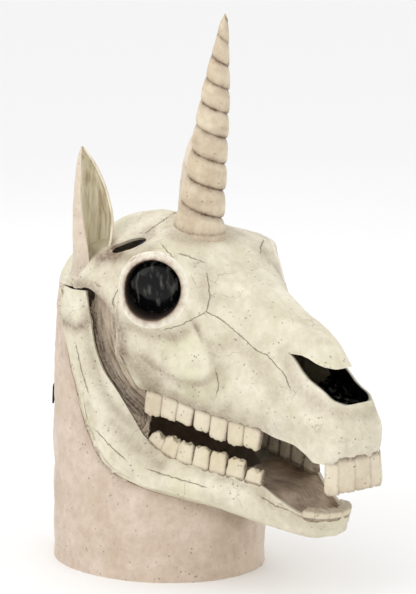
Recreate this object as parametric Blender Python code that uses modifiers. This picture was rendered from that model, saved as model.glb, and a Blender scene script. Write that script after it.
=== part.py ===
"""An over-the-head latex mask: a horse's skull with a spiral horn, ears and a neck sleeve.

The mask faces -Y and stands on its hem at Z = 0, with the middle of its outline at the origin.  It is
modelled with the neck's axis on Z and moved at the end.  Its own right side is -X.  In the tables
"along" is the distance forward of the neck's axis, "up" is a height and "out" is a distance from the
midline, each as a share of the named size that the table's comment gives.
"""
import math

import bmesh
import bpy
from mathutils import Matrix, Vector
from mathutils.bvhtree import BVHTree

# Latex and fits
WALL = 0.003
THIN_WALL = 0.002
GAP = 0.0003
ROOM = 1.5

# Neck
HEM_HALF_WIDTH = 0.100
HEM_HALF_DEPTH = 0.113
NECK_HEIGHT = 0.284

# Skull: from the neck's axis to the muzzle and to the nape, and its height above the gum level
FACE_REACH = 0.286
NAPE_REACH = 0.097
SKULL_HALF_WIDTH = 0.100
GUM_LEVEL = 0.150
FACE_DEPTH = 0.200

# Lower jaw: from the neck's axis to the chin
JAW_REACH = 0.251

# Horn
HORN_LENGTH = 0.235
HORN_RADIUS = 0.0255
HORN_LEAN = math.radians(9.5)
HORN_TURNS = 9.5
HORN_GROOVE = 0.15
HORN_SEAT = 0.192
HORN_SINK = 0.021

# Ears
EAR_LENGTH = 0.128
EAR_RADIUS = 0.020
EAR_SPACING = 0.073
EAR_BACK = 0.020
EAR_SEAT = 0.294
EAR_CURL = math.radians(246)
EAR_FACING = math.radians(20)

# Eye sockets and the slots behind the forehead
ORBIT_RADIUS = 0.029
ORBIT_DEPTH = 0.018
ORBIT_OUT = 0.086
ORBIT_ALONG = 0.080
ORBIT_UP = 0.2935
ORBIT_TURN = math.radians(54)
TEMPLE_LENGTH = 0.030
TEMPLE_HEIGHT = 0.016
TEMPLE_OUT = 0.064
TEMPLE_ALONG = 0.022
TEMPLE_UP = 0.329

# Teeth
CHEEK_TEETH = 7
TOOTH_DEPTH = 0.010
TOOTH_SPACING = 0.0006
CROWN_DEPTH = 0.78
TOOTH_BACK = 0.78
INCISOR_BACK = 0.55
CHEEK_TOOTH_HEIGHT = 0.0225
INCISORS = 6
INCISOR_HEIGHT = 0.035
INCISOR_DEPTH = 0.011
LOWER_INCISOR_HEIGHT = 0.011

# Straps at the nape
STRAP_WIDTH = 0.017
STRAP_UPPER = 0.223
STRAP_LOWER = 0.165
STRAP_HALF_SPAN = math.radians(46)

# Each row: along of FACE_REACH (of NAPE_REACH where negative); out of SKULL_HALF_WIDTH; up above
# GUM_LEVEL as a share of FACE_DEPTH.
# along, crown up, brow out, brow up, cheek out, cheek up, edge out, edge up
SKULL_SECTIONS = [
    (-1.00, 0.690, 0.00, 0.685, 0.00, 0.680, 0.00, 0.670),
    (-0.985, 0.710, 0.10, 0.700, 0.16, 0.690, 0.20, 0.670),
    (-0.92, 0.765, 0.26, 0.735, 0.37, 0.705, 0.41, 0.670),
    (-0.78, 0.850, 0.43, 0.775, 0.57, 0.725, 0.64, 0.670),
    (-0.60, 0.925, 0.54, 0.825, 0.72, 0.750, 0.79, 0.670),
    (-0.40, 0.975, 0.60, 0.855, 0.80, 0.765, 0.88, 0.670),
    (-0.27, 0.995, 0.62, 0.865, 0.84, 0.770, 0.90, 0.670),
    (-0.20, 1.000, 0.63, 0.865, 0.90, 0.735, 0.95, 0.670),
    (0.00, 1.015, 0.62, 0.880, 0.87, 0.800, 0.965, 0.685),
    (0.07, 1.010, 0.65, 0.880, 0.86, 0.780, 0.97, 0.650),
    (0.125, 0.995, 0.74, 0.865, 0.91, 0.740, 0.965, 0.580),
    (0.15, 0.985, 0.80, 0.850, 0.965, 0.600, 0.94, 0.400),
    (0.165, 0.980, 0.82, 0.850, 0.970, 0.440, 0.74, 0.210),
    (0.217, 0.955, 0.88, 0.845, 0.970, 0.410, 0.67, 0.190),
    (0.294, 0.905, 0.82, 0.830, 0.890, 0.380, 0.625, 0.170),
    (0.364, 0.850, 0.63, 0.770, 0.790, 0.340, 0.585, 0.140),
    (0.437, 0.790, 0.49, 0.705, 0.700, 0.315, 0.54, 0.120),
    (0.524, 0.720, 0.35, 0.655, 0.600, 0.290, 0.48, 0.097),
    (0.622, 0.640, 0.26, 0.600, 0.510, 0.265, 0.425, 0.078),
    (0.700, 0.585, 0.22, 0.555, 0.450, 0.235, 0.38, 0.045),
    (0.762, 0.545, 0.19, 0.520, 0.410, 0.210, 0.36, 0.030),
    (0.818, 0.495, 0.17, 0.465, 0.390, 0.180, 0.35, -0.005),
    (0.860, 0.445, 0.15, 0.405, 0.380, 0.150, 0.345, -0.040),
    (0.916, 0.330, 0.22, 0.290, 0.350, 0.110, 0.33, -0.040),
    (0.960, 0.240, 0.17, 0.220, 0.270, 0.100, 0.26, -0.018),
    (0.987, 0.140, 0.09, 0.130, 0.140, 0.070, 0.14, -0.005),
    (1.00, 0.060, 0.00, 0.045, 0.00, 0.020, 0.00, -0.003),
]

# One row for each rib of the jaw, from the chin back along its lower edge and up to the joint.  The seam
# is where it meets the neck.  Out of HEM_HALF_WIDTH; seam along of HEM_HALF_DEPTH, the others' along of
# JAW_REACH; up of NECK_HEIGHT; swell is how far the side bulges, of HEM_HALF_WIDTH.
# seam out, along, up; border out, along, up; gum out, along, up; swell
JAW_RIBS = [
    (0.00, 0.990, 0.268, 0.00, 0.948, 0.225, 0.000, 1.000, 0.306, 0.030),
    (0.14, 0.980, 0.268, 0.17, 0.928, 0.225, 0.160, 0.982, 0.306, 0.030),
    (0.28, 0.955, 0.275, 0.29, 0.857, 0.236, 0.295, 0.905, 0.310, 0.030),
    (0.41, 0.910, 0.282, 0.37, 0.757, 0.254, 0.360, 0.800, 0.349, 0.040),
    (0.53, 0.850, 0.292, 0.46, 0.645, 0.282, 0.425, 0.709, 0.396, 0.055),
    (0.64, 0.770, 0.306, 0.57, 0.526, 0.306, 0.500, 0.574, 0.408, 0.065),
    (0.75, 0.665, 0.320, 0.70, 0.410, 0.327, 0.565, 0.446, 0.420, 0.070),
    (0.86, 0.505, 0.342, 0.85, 0.287, 0.347, 0.630, 0.320, 0.440, 0.075),
    (0.94, 0.320, 0.373, 0.945, 0.165, 0.380, 0.680, 0.207, 0.496, 0.070),
    (0.975, 0.105, 0.444, 0.98, 0.066, 0.452, 0.740, 0.151, 0.574, 0.045),
    (0.97, -0.055, 0.546, 0.975, -0.006, 0.550, 0.810, 0.104, 0.651, 0.035),
    (0.955, -0.180, 0.669, 0.96, -0.058, 0.673, 0.885, 0.048, 0.732, 0.025),
    (0.945, -0.290, 0.782, 0.95, -0.108, 0.785, 0.920, 0.020, 0.810, 0.025),
    (0.93, -0.360, 0.880, 0.945, -0.140, 0.884, 0.940, 0.008, 0.894, 0.050),
    (0.895, -0.400, 0.955, 0.915, -0.160, 0.958, 0.935, -0.010, 0.965, 0.040),
    (0.885, -0.410, 0.998, 0.91, -0.165, 0.998, 0.935, -0.020, 0.998, 0.020),
]

# Share of the horn's length, share of its radius
HORN_TAPER = [(0.0, 1.0), (0.18, 0.89), (0.40, 0.74), (0.66, 0.555), (0.88, 0.28), (1.0, 0.07)]

# Share of the ear's length, share of its radius, shift forward and shift outward as shares of its radius
EAR_SECTIONS = [
    (0.00, 0.62, 0.00, 0.10),
    (0.14, 0.80, 0.00, 0.05),
    (0.28, 0.98, 0.10, 0.00),
    (0.42, 1.00, 0.12, 0.00),
    (0.58, 0.90, 0.08, 0.02),
    (0.75, 0.70, -0.04, 0.06),
    (0.88, 0.44, -0.18, 0.12),
    (0.96, 0.22, -0.28, 0.18),
    (1.00, 0.07, -0.34, 0.22),
]

# Heights of the cheek teeth from the front one to the rear one, as shares of CHEEK_TOOTH_HEIGHT
UPPER_TOOTH_HEIGHTS = [0.96, 1.02, 1.02, 0.90, 0.90, 1.00, 1.08]
LOWER_TOOTH_HEIGHTS = [0.55, 0.78, 0.88, 0.90, 0.86, 0.80, 0.52]

SECTION_STEPS = 3
JAW_STEPS = 2
NAPE_STEPS = 7


# Interpolation

def slopes_of(xs, ys):
    """Slopes that keep a cubic through the points from overshooting them."""
    steps = [(ys[i + 1] - ys[i]) / (xs[i + 1] - xs[i]) for i in range(len(xs) - 1)]
    slopes = [steps[0]]
    for before, after in zip(steps, steps[1:]):
        same_way = before * after > 0
        slopes.append(2 * before * after / (before + after) if same_way else 0.0)
    slopes.append(steps[-1])
    return slopes


def column_at(table, column, at):
    """A column's value at a place given in the table's first column, on a smooth curve through its rows."""
    xs = [row[0] for row in table]
    ys = [row[column] for row in table]
    slopes = slopes_of(xs, ys)
    at = min(max(at, xs[0]), xs[-1])
    i = max(k for k in range(len(xs) - 1) if xs[k] <= at)
    width = xs[i + 1] - xs[i]
    t = (at - xs[i]) / width
    return ((1 + 2 * t) * (1 - t) ** 2 * ys[i] + t * (1 - t) ** 2 * width * slopes[i]
            + t * t * (3 - 2 * t) * ys[i + 1] - t * t * (1 - t) * width * slopes[i + 1])


def spline(points, steps):
    """Points on a Catmull-Rom curve through some vectors, with a given number of steps in each span."""
    ends = [2 * points[0] - points[1]] + list(points) + [2 * points[-1] - points[-2]]
    result = []
    for a, b, c, d in zip(ends, ends[1:], ends[2:], ends[3:]):
        for k in range(steps):
            t = k / steps
            result.append(0.5 * (2 * b + (c - a) * t + (2 * a - 5 * b + 4 * c - d) * t * t
                                 + (3 * b - a - 3 * c + d) * t ** 3))
    result.append(points[-1].copy())
    return result


# Making and cutting solids

def material(name, colour, roughness):
    result = bpy.data.materials.new(name)
    result.use_nodes = True
    shader = result.node_tree.nodes["Principled BSDF"]
    shader.inputs["Base Color"].default_value = (*colour, 1.0)
    shader.inputs["Roughness"].default_value = roughness
    return result


def add_object(name, bm, paint, collection):
    mesh = bpy.data.meshes.new(name)
    bm.to_mesh(mesh)
    bm.free()
    mesh.materials.append(paint)
    result = bpy.data.objects.new(name, mesh)
    collection.objects.link(result)
    return result


def loft(rings, closed=False):
    """A sheet of faces between rings of points that each have as many points as the next."""
    bm = bmesh.new()
    rows = [[bm.verts.new(point) for point in ring] for ring in rings]
    count = len(rings[0])
    for near, far in zip(rows, rows[1:]):
        for k in range(count if closed else count - 1):
            m = (k + 1) % count
            bm.faces.new((near[k], near[m], far[m], far[k]))
    return bm


def bake(obj):
    """Replace an object's mesh by what its modifiers make of it."""
    depsgraph = bpy.context.evaluated_depsgraph_get()
    mesh = bpy.data.meshes.new_from_object(obj.evaluated_get(depsgraph))
    obj.modifiers.clear()
    obj.data = mesh
    bm = bmesh.new()
    bm.from_mesh(mesh)
    bmesh.ops.triangulate(bm, faces=bm.faces)
    bm.to_mesh(mesh)
    bm.free()


def mirror_and_thicken(obj, thickness, mirrored=True):
    """Complete a half sheet at the midline and give it a wall on its inner side."""
    if mirrored:
        mirror = obj.modifiers.new("Mirror", "MIRROR")
        mirror.merge_threshold = 0.00001
    wall = obj.modifiers.new("Wall", "SOLIDIFY")
    wall.thickness = thickness
    wall.offset = -1.0
    wall.use_even_offset = True
    wall.thickness_clamp = 1.0
    bake(obj)


def weld(bm):
    bmesh.ops.remove_doubles(bm, verts=bm.verts, dist=0.00001)
    bmesh.ops.dissolve_degenerate(bm, edges=bm.edges, dist=0.00001)


def keep_main_body(obj):
    """Merge what a cut leaves closer than a micron, and drop the chips beside the largest body."""
    bm = bmesh.new()
    bm.from_mesh(obj.data)
    bmesh.ops.remove_doubles(bm, verts=bm.verts, dist=0.000002)
    bmesh.ops.dissolve_degenerate(bm, edges=bm.edges, dist=0.000002)
    left = set(bm.verts)
    bodies = []
    while left:
        body = {left.pop()}
        front = list(body)
        while front:
            for edge in front.pop().link_edges:
                for vert in edge.verts:
                    if vert in left:
                        left.remove(vert)
                        body.add(vert)
                        front.append(vert)
        bodies.append(body)

    def extent(body):
        corners = [[f(v.co[axis] for v in body) for axis in range(3)] for f in (min, max)]
        return (Vector(corners[1]) - Vector(corners[0])).length

    main = max(bodies, key=extent)
    bmesh.ops.delete(bm, geom=[v for v in bm.verts if v not in main], context="VERTS")
    bm.to_mesh(obj.data)
    bm.free()


def cut(obj, cutter):
    boolean = obj.modifiers.new("Cut", "BOOLEAN")
    boolean.operation = "DIFFERENCE"
    boolean.solver = "EXACT"
    boolean.object = cutter
    bake(obj)
    keep_main_body(obj)


def make_room(obj, neighbour, tools):
    """Cut an object back so that it lies a gap clear of its neighbour."""
    bm = bmesh.new()
    bm.from_mesh(neighbour.data)
    bm.transform(neighbour.matrix_world)
    bm.normal_update()
    places = [v.co + v.normal * GAP * ROOM for v in bm.verts]
    for vert, place in zip(bm.verts, places):
        vert.co = place
    cutter = add_object(neighbour.name + "_room", bm, neighbour.data.materials[0], tools)
    hide_tool(cutter)
    cut(obj, cutter)
    bpy.data.objects.remove(cutter)


def hide_tool(obj):
    obj.hide_render = True
    obj.display_type = "WIRE"


# Forms that several pieces share

def skull_along(share):
    return share * (FACE_REACH if share >= 0 else NAPE_REACH)


def skull_share(along):
    return along / (FACE_REACH if along >= 0 else NAPE_REACH)


def skull_point(share, out_column, up_column):
    out = column_at(SKULL_SECTIONS, out_column, share) * SKULL_HALF_WIDTH if out_column else 0.0
    up = GUM_LEVEL + column_at(SKULL_SECTIONS, up_column, share) * FACE_DEPTH
    return Vector((out, -skull_along(share), up))


def skull_section(share, steps=SECTION_STEPS):
    """Half a cross-section, from the midline of the crown out and down to the lower edge."""
    crown = skull_point(share, None, 1)
    brow = skull_point(share, 2, 3)
    cheek = skull_point(share, 4, 5)
    edge = skull_point(share, 6, 7)
    mirrored = Vector((-brow.x, brow.y, brow.z))
    return spline([mirrored, crown, brow, cheek, edge], steps)[steps:]


def skull_edge(share):
    return skull_point(share, 6, 7)


def jaw_rib(place):
    """The seam, border, gum and swell of the jaw's rib at a place counted in rows of its table."""
    table = [(float(k), *row) for k, row in enumerate(JAW_RIBS)]
    value = [column_at(table, column, place) for column in range(1, 11)]
    half_width = HEM_HALF_WIDTH
    seam = Vector((value[0] * half_width, -value[1] * HEM_HALF_DEPTH, value[2] * NECK_HEIGHT))
    border = Vector((value[3] * half_width, -value[4] * JAW_REACH, value[5] * NECK_HEIGHT))
    gum = Vector((value[6] * half_width, -value[7] * JAW_REACH, value[8] * NECK_HEIGHT))
    return seam, border, gum, value[9] * half_width


def jaw_section(place):
    """The jaw's wall from the neck along its underside and up its side to the gum."""
    seam, border, gum, swell = jaw_rib(place)
    side = (border + gum) / 2
    outward = Vector((side.x, side.y * 0.35, 0.0)).normalized() + Vector((0.0, 0.0, -0.35))
    side += outward.normalized() * swell
    return spline([seam, (seam + border) / 2, border, side, gum], JAW_STEPS)


# Pieces

def make_skull(paint, parts, tools):
    shares = []
    for near, far in zip(SKULL_SECTIONS, SKULL_SECTIONS[1:]):
        shares.append(near[0])
        if abs(skull_along(far[0]) - skull_along(near[0])) > 0.08 * FACE_REACH:
            shares.append((near[0] + far[0]) / 2)
    shares.append(SKULL_SECTIONS[-1][0])
    bm = loft([skull_section(share) for share in shares])
    weld(bm)
    bmesh.ops.recalc_face_normals(bm, faces=bm.faces)
    skull = add_object("skull_shell", bm, paint, parts)
    point_outwards(skull, Vector((0.0, 0.0, GUM_LEVEL)))
    mirror_and_thicken(skull, WALL)
    for side in (-1, 1):
        cut(skull, orbit_cutter(side, paint, tools))
        cut(skull, temple_cutter(side, paint, tools))
    cut(skull, nose_cutter(paint, tools))
    return skull


def point_outwards(obj, centre):
    """Turn an open sheet's faces away from a point that it goes round."""
    bm = bmesh.new()
    bm.from_mesh(obj.data)
    facing = 0.0
    for face in bm.faces:
        facing += (face.calc_center_median() - centre).dot(face.normal) * face.calc_area()
    if facing < 0:
        bmesh.ops.reverse_faces(bm, faces=bm.faces)
    bm.to_mesh(obj.data)
    bm.free()


def orbit_frame(side):
    """A frame whose Z axis points out of the eye socket."""
    outward = Vector((side * math.sin(ORBIT_TURN), -math.cos(ORBIT_TURN), 0.0))
    turn = outward.to_track_quat("Z", "Y").to_matrix().to_4x4()
    return Matrix.Translation((side * ORBIT_OUT, -ORBIT_ALONG, ORBIT_UP)) @ turn


def orbit_cutter(side, paint, tools):
    bm = bmesh.new()
    radius = ORBIT_RADIUS + GAP
    bmesh.ops.create_cone(bm, cap_ends=True, segments=32, radius1=radius, radius2=radius,
                          depth=2.4 * ORBIT_RADIUS)
    bm.transform(orbit_frame(side))
    cutter = add_object("orbit_cutter", bm, paint, tools)
    hide_tool(cutter)
    return cutter


def temple_frame(side):
    outward = Vector((side * 0.75, 0.35, 0.56)).normalized()
    forward = Vector((-side * 0.55, -0.8, 0.2))
    across = outward.cross(forward).normalized()
    forward = across.cross(outward)
    turn = Matrix((forward, across, outward)).transposed().to_4x4()
    return Matrix.Translation((side * TEMPLE_OUT, -TEMPLE_ALONG, TEMPLE_UP)) @ turn


def temple_cutter(side, paint, tools):
    bm = bmesh.new()
    bmesh.ops.create_cone(bm, cap_ends=True, segments=20, radius1=0.5, radius2=0.5, depth=1.0)
    bmesh.ops.scale(bm, vec=(TEMPLE_LENGTH, TEMPLE_HEIGHT, 1.6 * TEMPLE_LENGTH), verts=bm.verts)
    bm.transform(temple_frame(side))
    cutter = add_object("temple_cutter", bm, paint, tools)
    hide_tool(cutter)
    return cutter


def nose_outline():
    """The nasal opening from the side: under the nasal bones, then down the edge of the muzzle."""
    shares = [(0.725, 0.455), (0.797, 0.450), (0.850, 0.415), (0.874, 0.385), (0.881, 0.60), (1.06, 0.60),
              (1.06, 0.235), (0.950, 0.240), (0.885, 0.285), (0.811, 0.350), (0.755, 0.420)]
    return [(along * FACE_REACH, GUM_LEVEL + up * FACE_DEPTH) for along, up in shares]


def nose_cutter(paint, tools):
    bm = bmesh.new()
    half = SKULL_HALF_WIDTH
    verts = [bm.verts.new((-half, -along, up)) for along, up in nose_outline()]
    face = bm.faces.new(verts)
    extruded = bmesh.ops.extrude_face_region(bm, geom=[face])["geom"]
    moved = [item for item in extruded if isinstance(item, bmesh.types.BMVert)]
    bmesh.ops.translate(bm, vec=(2 * half, 0.0, 0.0), verts=moved)
    bmesh.ops.recalc_face_normals(bm, faces=bm.faces)
    cutter = add_object("nose_cutter", bm, paint, tools)
    hide_tool(cutter)
    return cutter


def make_jaw(paint, parts):
    places = [float(k) for k in range(len(JAW_RIBS))]
    bm = loft([jaw_section(place) for place in places])
    weld(bm)
    jaw = add_object("lower_jaw", bm, paint, parts)
    point_outwards(jaw, Vector((0.0, 0.0, NECK_HEIGHT)))
    mirror_and_thicken(jaw, WALL)
    return jaw


def neck_top():
    """The sleeve's upper edge, from the middle of the throat round to the middle of the nape."""
    last = len(JAW_RIBS) - 1
    throat = [jaw_rib(float(k))[0] for k in range(last + 1)]
    start = -throat[-1].y
    nape = []
    for k in range(1, NAPE_STEPS + 1):
        bend = math.sin(math.pi / 2 * k / NAPE_STEPS)
        along = start + (-NAPE_REACH - start) * bend
        nape.append(skull_edge(skull_share(along)) - Vector((0.0, 0.0, GAP)))
    return [point - Vector((0.0, 0.0, GAP)) for point in throat] + nape


def neck_point(top, share):
    """A point of the sleeve at a share of the way from the hem to a point of its upper edge."""
    angle = math.atan2(top.x / HEM_HALF_WIDTH, -top.y / HEM_HALF_DEPTH)
    hem = Vector((HEM_HALF_WIDTH * math.sin(angle), -HEM_HALF_DEPTH * math.cos(angle), 0.0))
    place = hem.lerp(top, share ** 4)
    place.z = top.z * share
    return place


def make_neck(paint, parts):
    rings = []
    for top in neck_top():
        rings.append([neck_point(top, share) for share in (0.0, 0.4, 0.7, 0.86, 1.0)])
    bm = loft(rings)
    weld(bm)
    neck = add_object("neck_sleeve", bm, paint, parts)
    point_outwards(neck, Vector((0.0, 0.0, NECK_HEIGHT / 2)))
    mirror_and_thicken(neck, WALL)
    return neck


def make_web(side, paint, parts):
    """The sunken web between the skull's rear edge and the jaw's front edge."""
    inset = 0.008
    upper_shares = [0.166, 0.160, 0.150, 0.138, 0.110, 0.060, 0.010]
    lower_places = [8.1, 9.0, 10.0, 11.0, 12.0, 13.0, 14.0]
    rings = []
    for k, (share, place) in enumerate(zip(upper_shares, lower_places)):
        upper = skull_edge(share)
        lower = jaw_rib(place)[2]
        upper.x -= inset * (0.35 if k == 0 else 1.0)
        lower.x -= inset * (0.35 if k == 0 else 1.0)
        across = (upper - lower).normalized()
        upper += across * 0.003
        lower -= across * 0.003
        middle = (upper + lower) / 2
        middle.x -= inset * 0.5
        rings.append([Vector((side * p.x, p.y, p.z)) for p in spline([lower, middle, upper], 3)])
    bm = loft(rings)
    bmesh.ops.recalc_face_normals(bm, faces=bm.faces)
    web = add_object("cheek_web_right" if side < 0 else "cheek_web_left", bm, paint, parts)
    point_outwards(web, Vector((0.0, 0.0, NECK_HEIGHT)))
    mirror_and_thicken(web, THIN_WALL, mirrored=False)
    return web


def make_horn(paint, parts):
    """A left-handed spiral: the ribs get closer as the horn narrows."""
    sides = 12
    ring_count = int(HORN_TURNS * 4)
    rings = []
    for i in range(ring_count + 1):
        share = i / ring_count
        radius = HORN_RADIUS * column_at(HORN_TAPER, 1, share)
        turns = HORN_TURNS * share * (0.82 + 0.18 * share)
        ring = []
        for k in range(sides):
            angle = 2 * math.pi * k / sides
            phase = turns + k / sides
            rib = abs(math.sin(math.pi * phase)) ** 0.6
            reach = radius * (1 - HORN_GROOVE * (1 - rib))
            ring.append(Vector((reach * math.cos(angle), reach * math.sin(angle), share * HORN_LENGTH)))
        rings.append(ring)
    bm = loft(rings, closed=True)
    bmesh.ops.holes_fill(bm, edges=bm.edges)
    bmesh.ops.recalc_face_normals(bm, faces=bm.faces)
    foot = skull_point(HORN_SEAT, None, 1) - Vector((0.0, 0.0, HORN_SINK))
    bm.transform(Matrix.Translation(foot) @ Matrix.Rotation(HORN_LEAN, 4, "X"))
    return add_object("horn", bm, paint, parts)


def make_ear(side, paint, parts):
    """A leaf-shaped sheet curled round a nearly upright line, open to the front."""
    arc_points = 7
    ring_count = 10
    rings = []
    for k in range(ring_count + 1):
        share = math.sin(math.pi / 2 * k / ring_count)
        radius = EAR_RADIUS * column_at(EAR_SECTIONS, 1, share)
        forward = EAR_RADIUS * column_at(EAR_SECTIONS, 2, share)
        outward = EAR_RADIUS * column_at(EAR_SECTIONS, 3, share)
        centre = Vector((side * (EAR_SPACING + outward), EAR_BACK - forward, EAR_SEAT + share * EAR_LENGTH))
        ring = []
        for m in range(arc_points + 1):
            turn = EAR_CURL * (m / arc_points - 0.5)
            heading = math.pi / 2 + side * EAR_FACING + turn
            ring.append(centre + Vector((radius * math.cos(heading), radius * math.sin(heading), 0.0)))
        rings.append(ring)
    bm = loft(rings)
    bmesh.ops.recalc_face_normals(bm, faces=bm.faces)
    ear = add_object("ear_right" if side < 0 else "ear_left", bm, paint, parts)
    point_outwards(ear, Vector((side * EAR_SPACING, EAR_BACK, EAR_SEAT)))
    mirror_and_thicken(ear, THIN_WALL, mirrored=False)
    return ear


def make_socket(side, skull_tree, paint, parts):
    """A dish whose rim follows the skull's surface inside the opening cut for it."""
    frame = orbit_frame(side)
    segments = 24
    outward = frame.to_3x3() @ Vector((0.0, 0.0, 1.0))
    rim = []
    for k in range(segments):
        angle = 2 * math.pi * k / segments
        reach = 1.06 * ORBIT_RADIUS
        probe = frame @ Vector((reach * math.cos(angle), reach * math.sin(angle), 0.06))
        hit = skull_tree.ray_cast(probe, -outward)[0]
        rim.append((frame.inverted() @ hit).z - WALL / 2)
    rings = []
    for radius_share, drop in ((1.0, 0.0), (0.90, 0.30), (0.78, 0.70), (0.70, 1.0)):
        ring = []
        for k in range(segments):
            angle = 2 * math.pi * k / segments
            radius = (ORBIT_RADIUS - GAP) * radius_share
            depth = rim[k] * (1 - drop) - ORBIT_DEPTH * drop
            ring.append(frame @ Vector((radius * math.cos(angle), radius * math.sin(angle), depth)))
        rings.append(ring)
    bm = loft(rings, closed=True)
    bmesh.ops.recalc_face_normals(bm, faces=bm.faces)
    socket = add_object("eye_socket_right" if side < 0 else "eye_socket_left", bm, paint, parts)
    point_outwards(socket, frame.translation - outward * ORBIT_DEPTH / 2)
    mirror_and_thicken(socket, THIN_WALL, mirrored=False)
    return socket


def make_lens(side, paint, parts):
    """A shallow glossy dome seated at the bottom of the socket."""
    bm = bmesh.new()
    bmesh.ops.create_uvsphere(bm, u_segments=16, v_segments=6, radius=1.0)
    radius = 0.70 * ORBIT_RADIUS
    bmesh.ops.scale(bm, vec=(radius, radius, 0.16 * radius), verts=bm.verts)
    bmesh.ops.translate(bm, vec=(0.0, 0.0, -ORBIT_DEPTH), verts=bm.verts)
    bm.transform(orbit_frame(side))
    return add_object("eye_lens_right" if side < 0 else "eye_lens_left", bm, paint, parts)


def make_gauze(side, skull_tree, paint, parts):
    """A dark patch stuck inside the slot behind the forehead."""
    frame = temple_frame(side)
    outward = frame.to_3x3() @ Vector((0.0, 0.0, 1.0))
    probe = frame @ Vector((0.0, 0.62 * TEMPLE_HEIGHT, TEMPLE_LENGTH))
    hit = frame.inverted() @ skull_tree.ray_cast(probe, -outward)[0]
    bm = bmesh.new()
    bmesh.ops.create_cone(bm, cap_ends=True, segments=20, radius1=0.5, radius2=0.5, depth=1.0)
    bmesh.ops.scale(bm, vec=(1.18 * TEMPLE_LENGTH, 1.5 * TEMPLE_HEIGHT, 2 * THIN_WALL), verts=bm.verts)
    bmesh.ops.translate(bm, vec=(0.0, 0.0, hit.z - 1.9 * WALL), verts=bm.verts)
    bm.transform(temple_frame(side))
    return add_object("temple_gauze_right" if side < 0 else "temple_gauze_left", bm, paint, parts)


def sheet_between(name, places, half_width_at, height_at, rise, paint, parts):
    """A curved floor or roof across the midline, thickened to a thin wall."""
    rings = []
    for place in places:
        half = half_width_at(place)
        ring = []
        for k in range(7):
            across = -1 + k / 3
            ring.append(Vector((across * half, -place, height_at(place) + rise * (1 - across * across))))
        rings.append(ring)
    bm = loft(rings)
    bmesh.ops.recalc_face_normals(bm, faces=bm.faces)
    sheet = add_object(name, bm, paint, parts)
    mirror_and_thicken(sheet, THIN_WALL, mirrored=False)
    return sheet


def make_palate(paint, parts):
    def width(along):
        return skull_edge(skull_share(along)).x - 0.6 * WALL

    def height(along):
        return skull_edge(skull_share(along)).z + 1.5 * WALL

    ends = (0.37, 0.90)
    places = [FACE_REACH * (ends[0] + (ends[1] - ends[0]) * k / 6) for k in range(7)]
    return sheet_between("palate", places, width, height, 0.010, paint, parts)


def jaw_gum_at(along):
    """The gum line's point at a distance along the jaw."""
    low, high = 0.0, float(len(JAW_RIBS) - 1)
    for _ in range(40):
        middle = (low + high) / 2
        if -jaw_rib(middle)[2].y > along:
            low = middle
        else:
            high = middle
    return jaw_rib(high)[2]


def make_mouth_floor(paint, parts):
    def width(along):
        return jaw_gum_at(along).x - 0.6 * WALL

    def height(along):
        return jaw_gum_at(along).z - 1.5 * WALL

    ends = (0.46, 0.93)
    places = [JAW_REACH * (ends[0] + (ends[1] - ends[0]) * k / 6) for k in range(7)]
    return sheet_between("mouth_floor", places, width, height, -0.008, paint, parts)


def make_nose_lining(paint, parts):
    def width(along):
        return column_at(SKULL_SECTIONS, 4, skull_share(along)) * SKULL_HALF_WIDTH - 0.7 * WALL

    def height(along):
        return GUM_LEVEL + FACE_DEPTH * (0.30 - 0.16 * (skull_share(along) - 0.70) / 0.25)

    places = [FACE_REACH * (0.71 + 0.045 * k) for k in range(6)]
    return sheet_between("nose_lining", places, width, height, -0.006, paint, parts)


def tooth(name, base, ways, size, narrowing, paint, parts):
    """A rounded block.  Its ways are along the row, towards the crown and into the mouth; its size is
    along the same three; its narrowing is the width of its crown and of its back."""
    bm = bmesh.new()
    row_way, crown_way, mouth_way = ways
    width, height, depth = size
    crown_width, back_width = narrowing
    bmesh.ops.create_cube(bm, size=1.0)
    bmesh.ops.scale(bm, vec=(width, depth, height), verts=bm.verts)
    bmesh.ops.translate(bm, vec=(0.0, 0.0, height / 2), verts=bm.verts)
    row_way = row_way.normalized()
    crown_way = (crown_way - crown_way.dot(row_way) * row_way).normalized()
    inward = crown_way.cross(row_way)
    back = math.copysign(1.0, inward.dot(mouth_way))
    for vert in bm.verts:
        if vert.co.y * back > 0:
            vert.co.x *= back_width
        if vert.co.z > height / 2:
            vert.co.x *= crown_width
            vert.co.y *= CROWN_DEPTH
    bmesh.ops.bevel(bm, geom=bm.edges[:], offset=0.16 * min(width, depth), segments=1, profile=0.5,
                    affect="EDGES", material=-1)
    turn = Matrix((row_way, inward, crown_way)).transposed().to_4x4()
    bm.transform(Matrix.Translation(base) @ turn)
    return add_object(name, bm, paint, parts)


def cheek_teeth(jaw_name, line_at, span, heights, crown_up, crown_width, paint, parts):
    """A row of teeth on each side along a gum line, numbered from the front."""
    made = []
    for side, side_name in ((-1, "right"), (1, "left")):
        for k in range(CHEEK_TEETH):
            front = line_at(span[0] + (span[1] - span[0]) * k / CHEEK_TEETH)
            rear = line_at(span[0] + (span[1] - span[0]) * (k + 1) / CHEEK_TEETH)
            front = Vector((side * front.x, front.y, front.z))
            rear = Vector((side * rear.x, rear.y, rear.z))
            base = (front + rear) / 2
            base.x -= side * (TOOTH_DEPTH / 2 - WALL / 2)
            base.z -= crown_up * 0.7 * WALL
            height = CHEEK_TOOTH_HEIGHT * heights[k] + 0.7 * WALL
            width = (front - rear).length - TOOTH_SPACING
            ways = (rear - front, Vector((0.0, 0.0, crown_up)), Vector((-side, 0.0, 0.0)))
            made.append(tooth(f"{jaw_name}_tooth_{side_name}_{k + 1}", base, ways,
                              (width, height, TOOTH_DEPTH), (crown_width, TOOTH_BACK), paint, parts))
    return made


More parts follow.
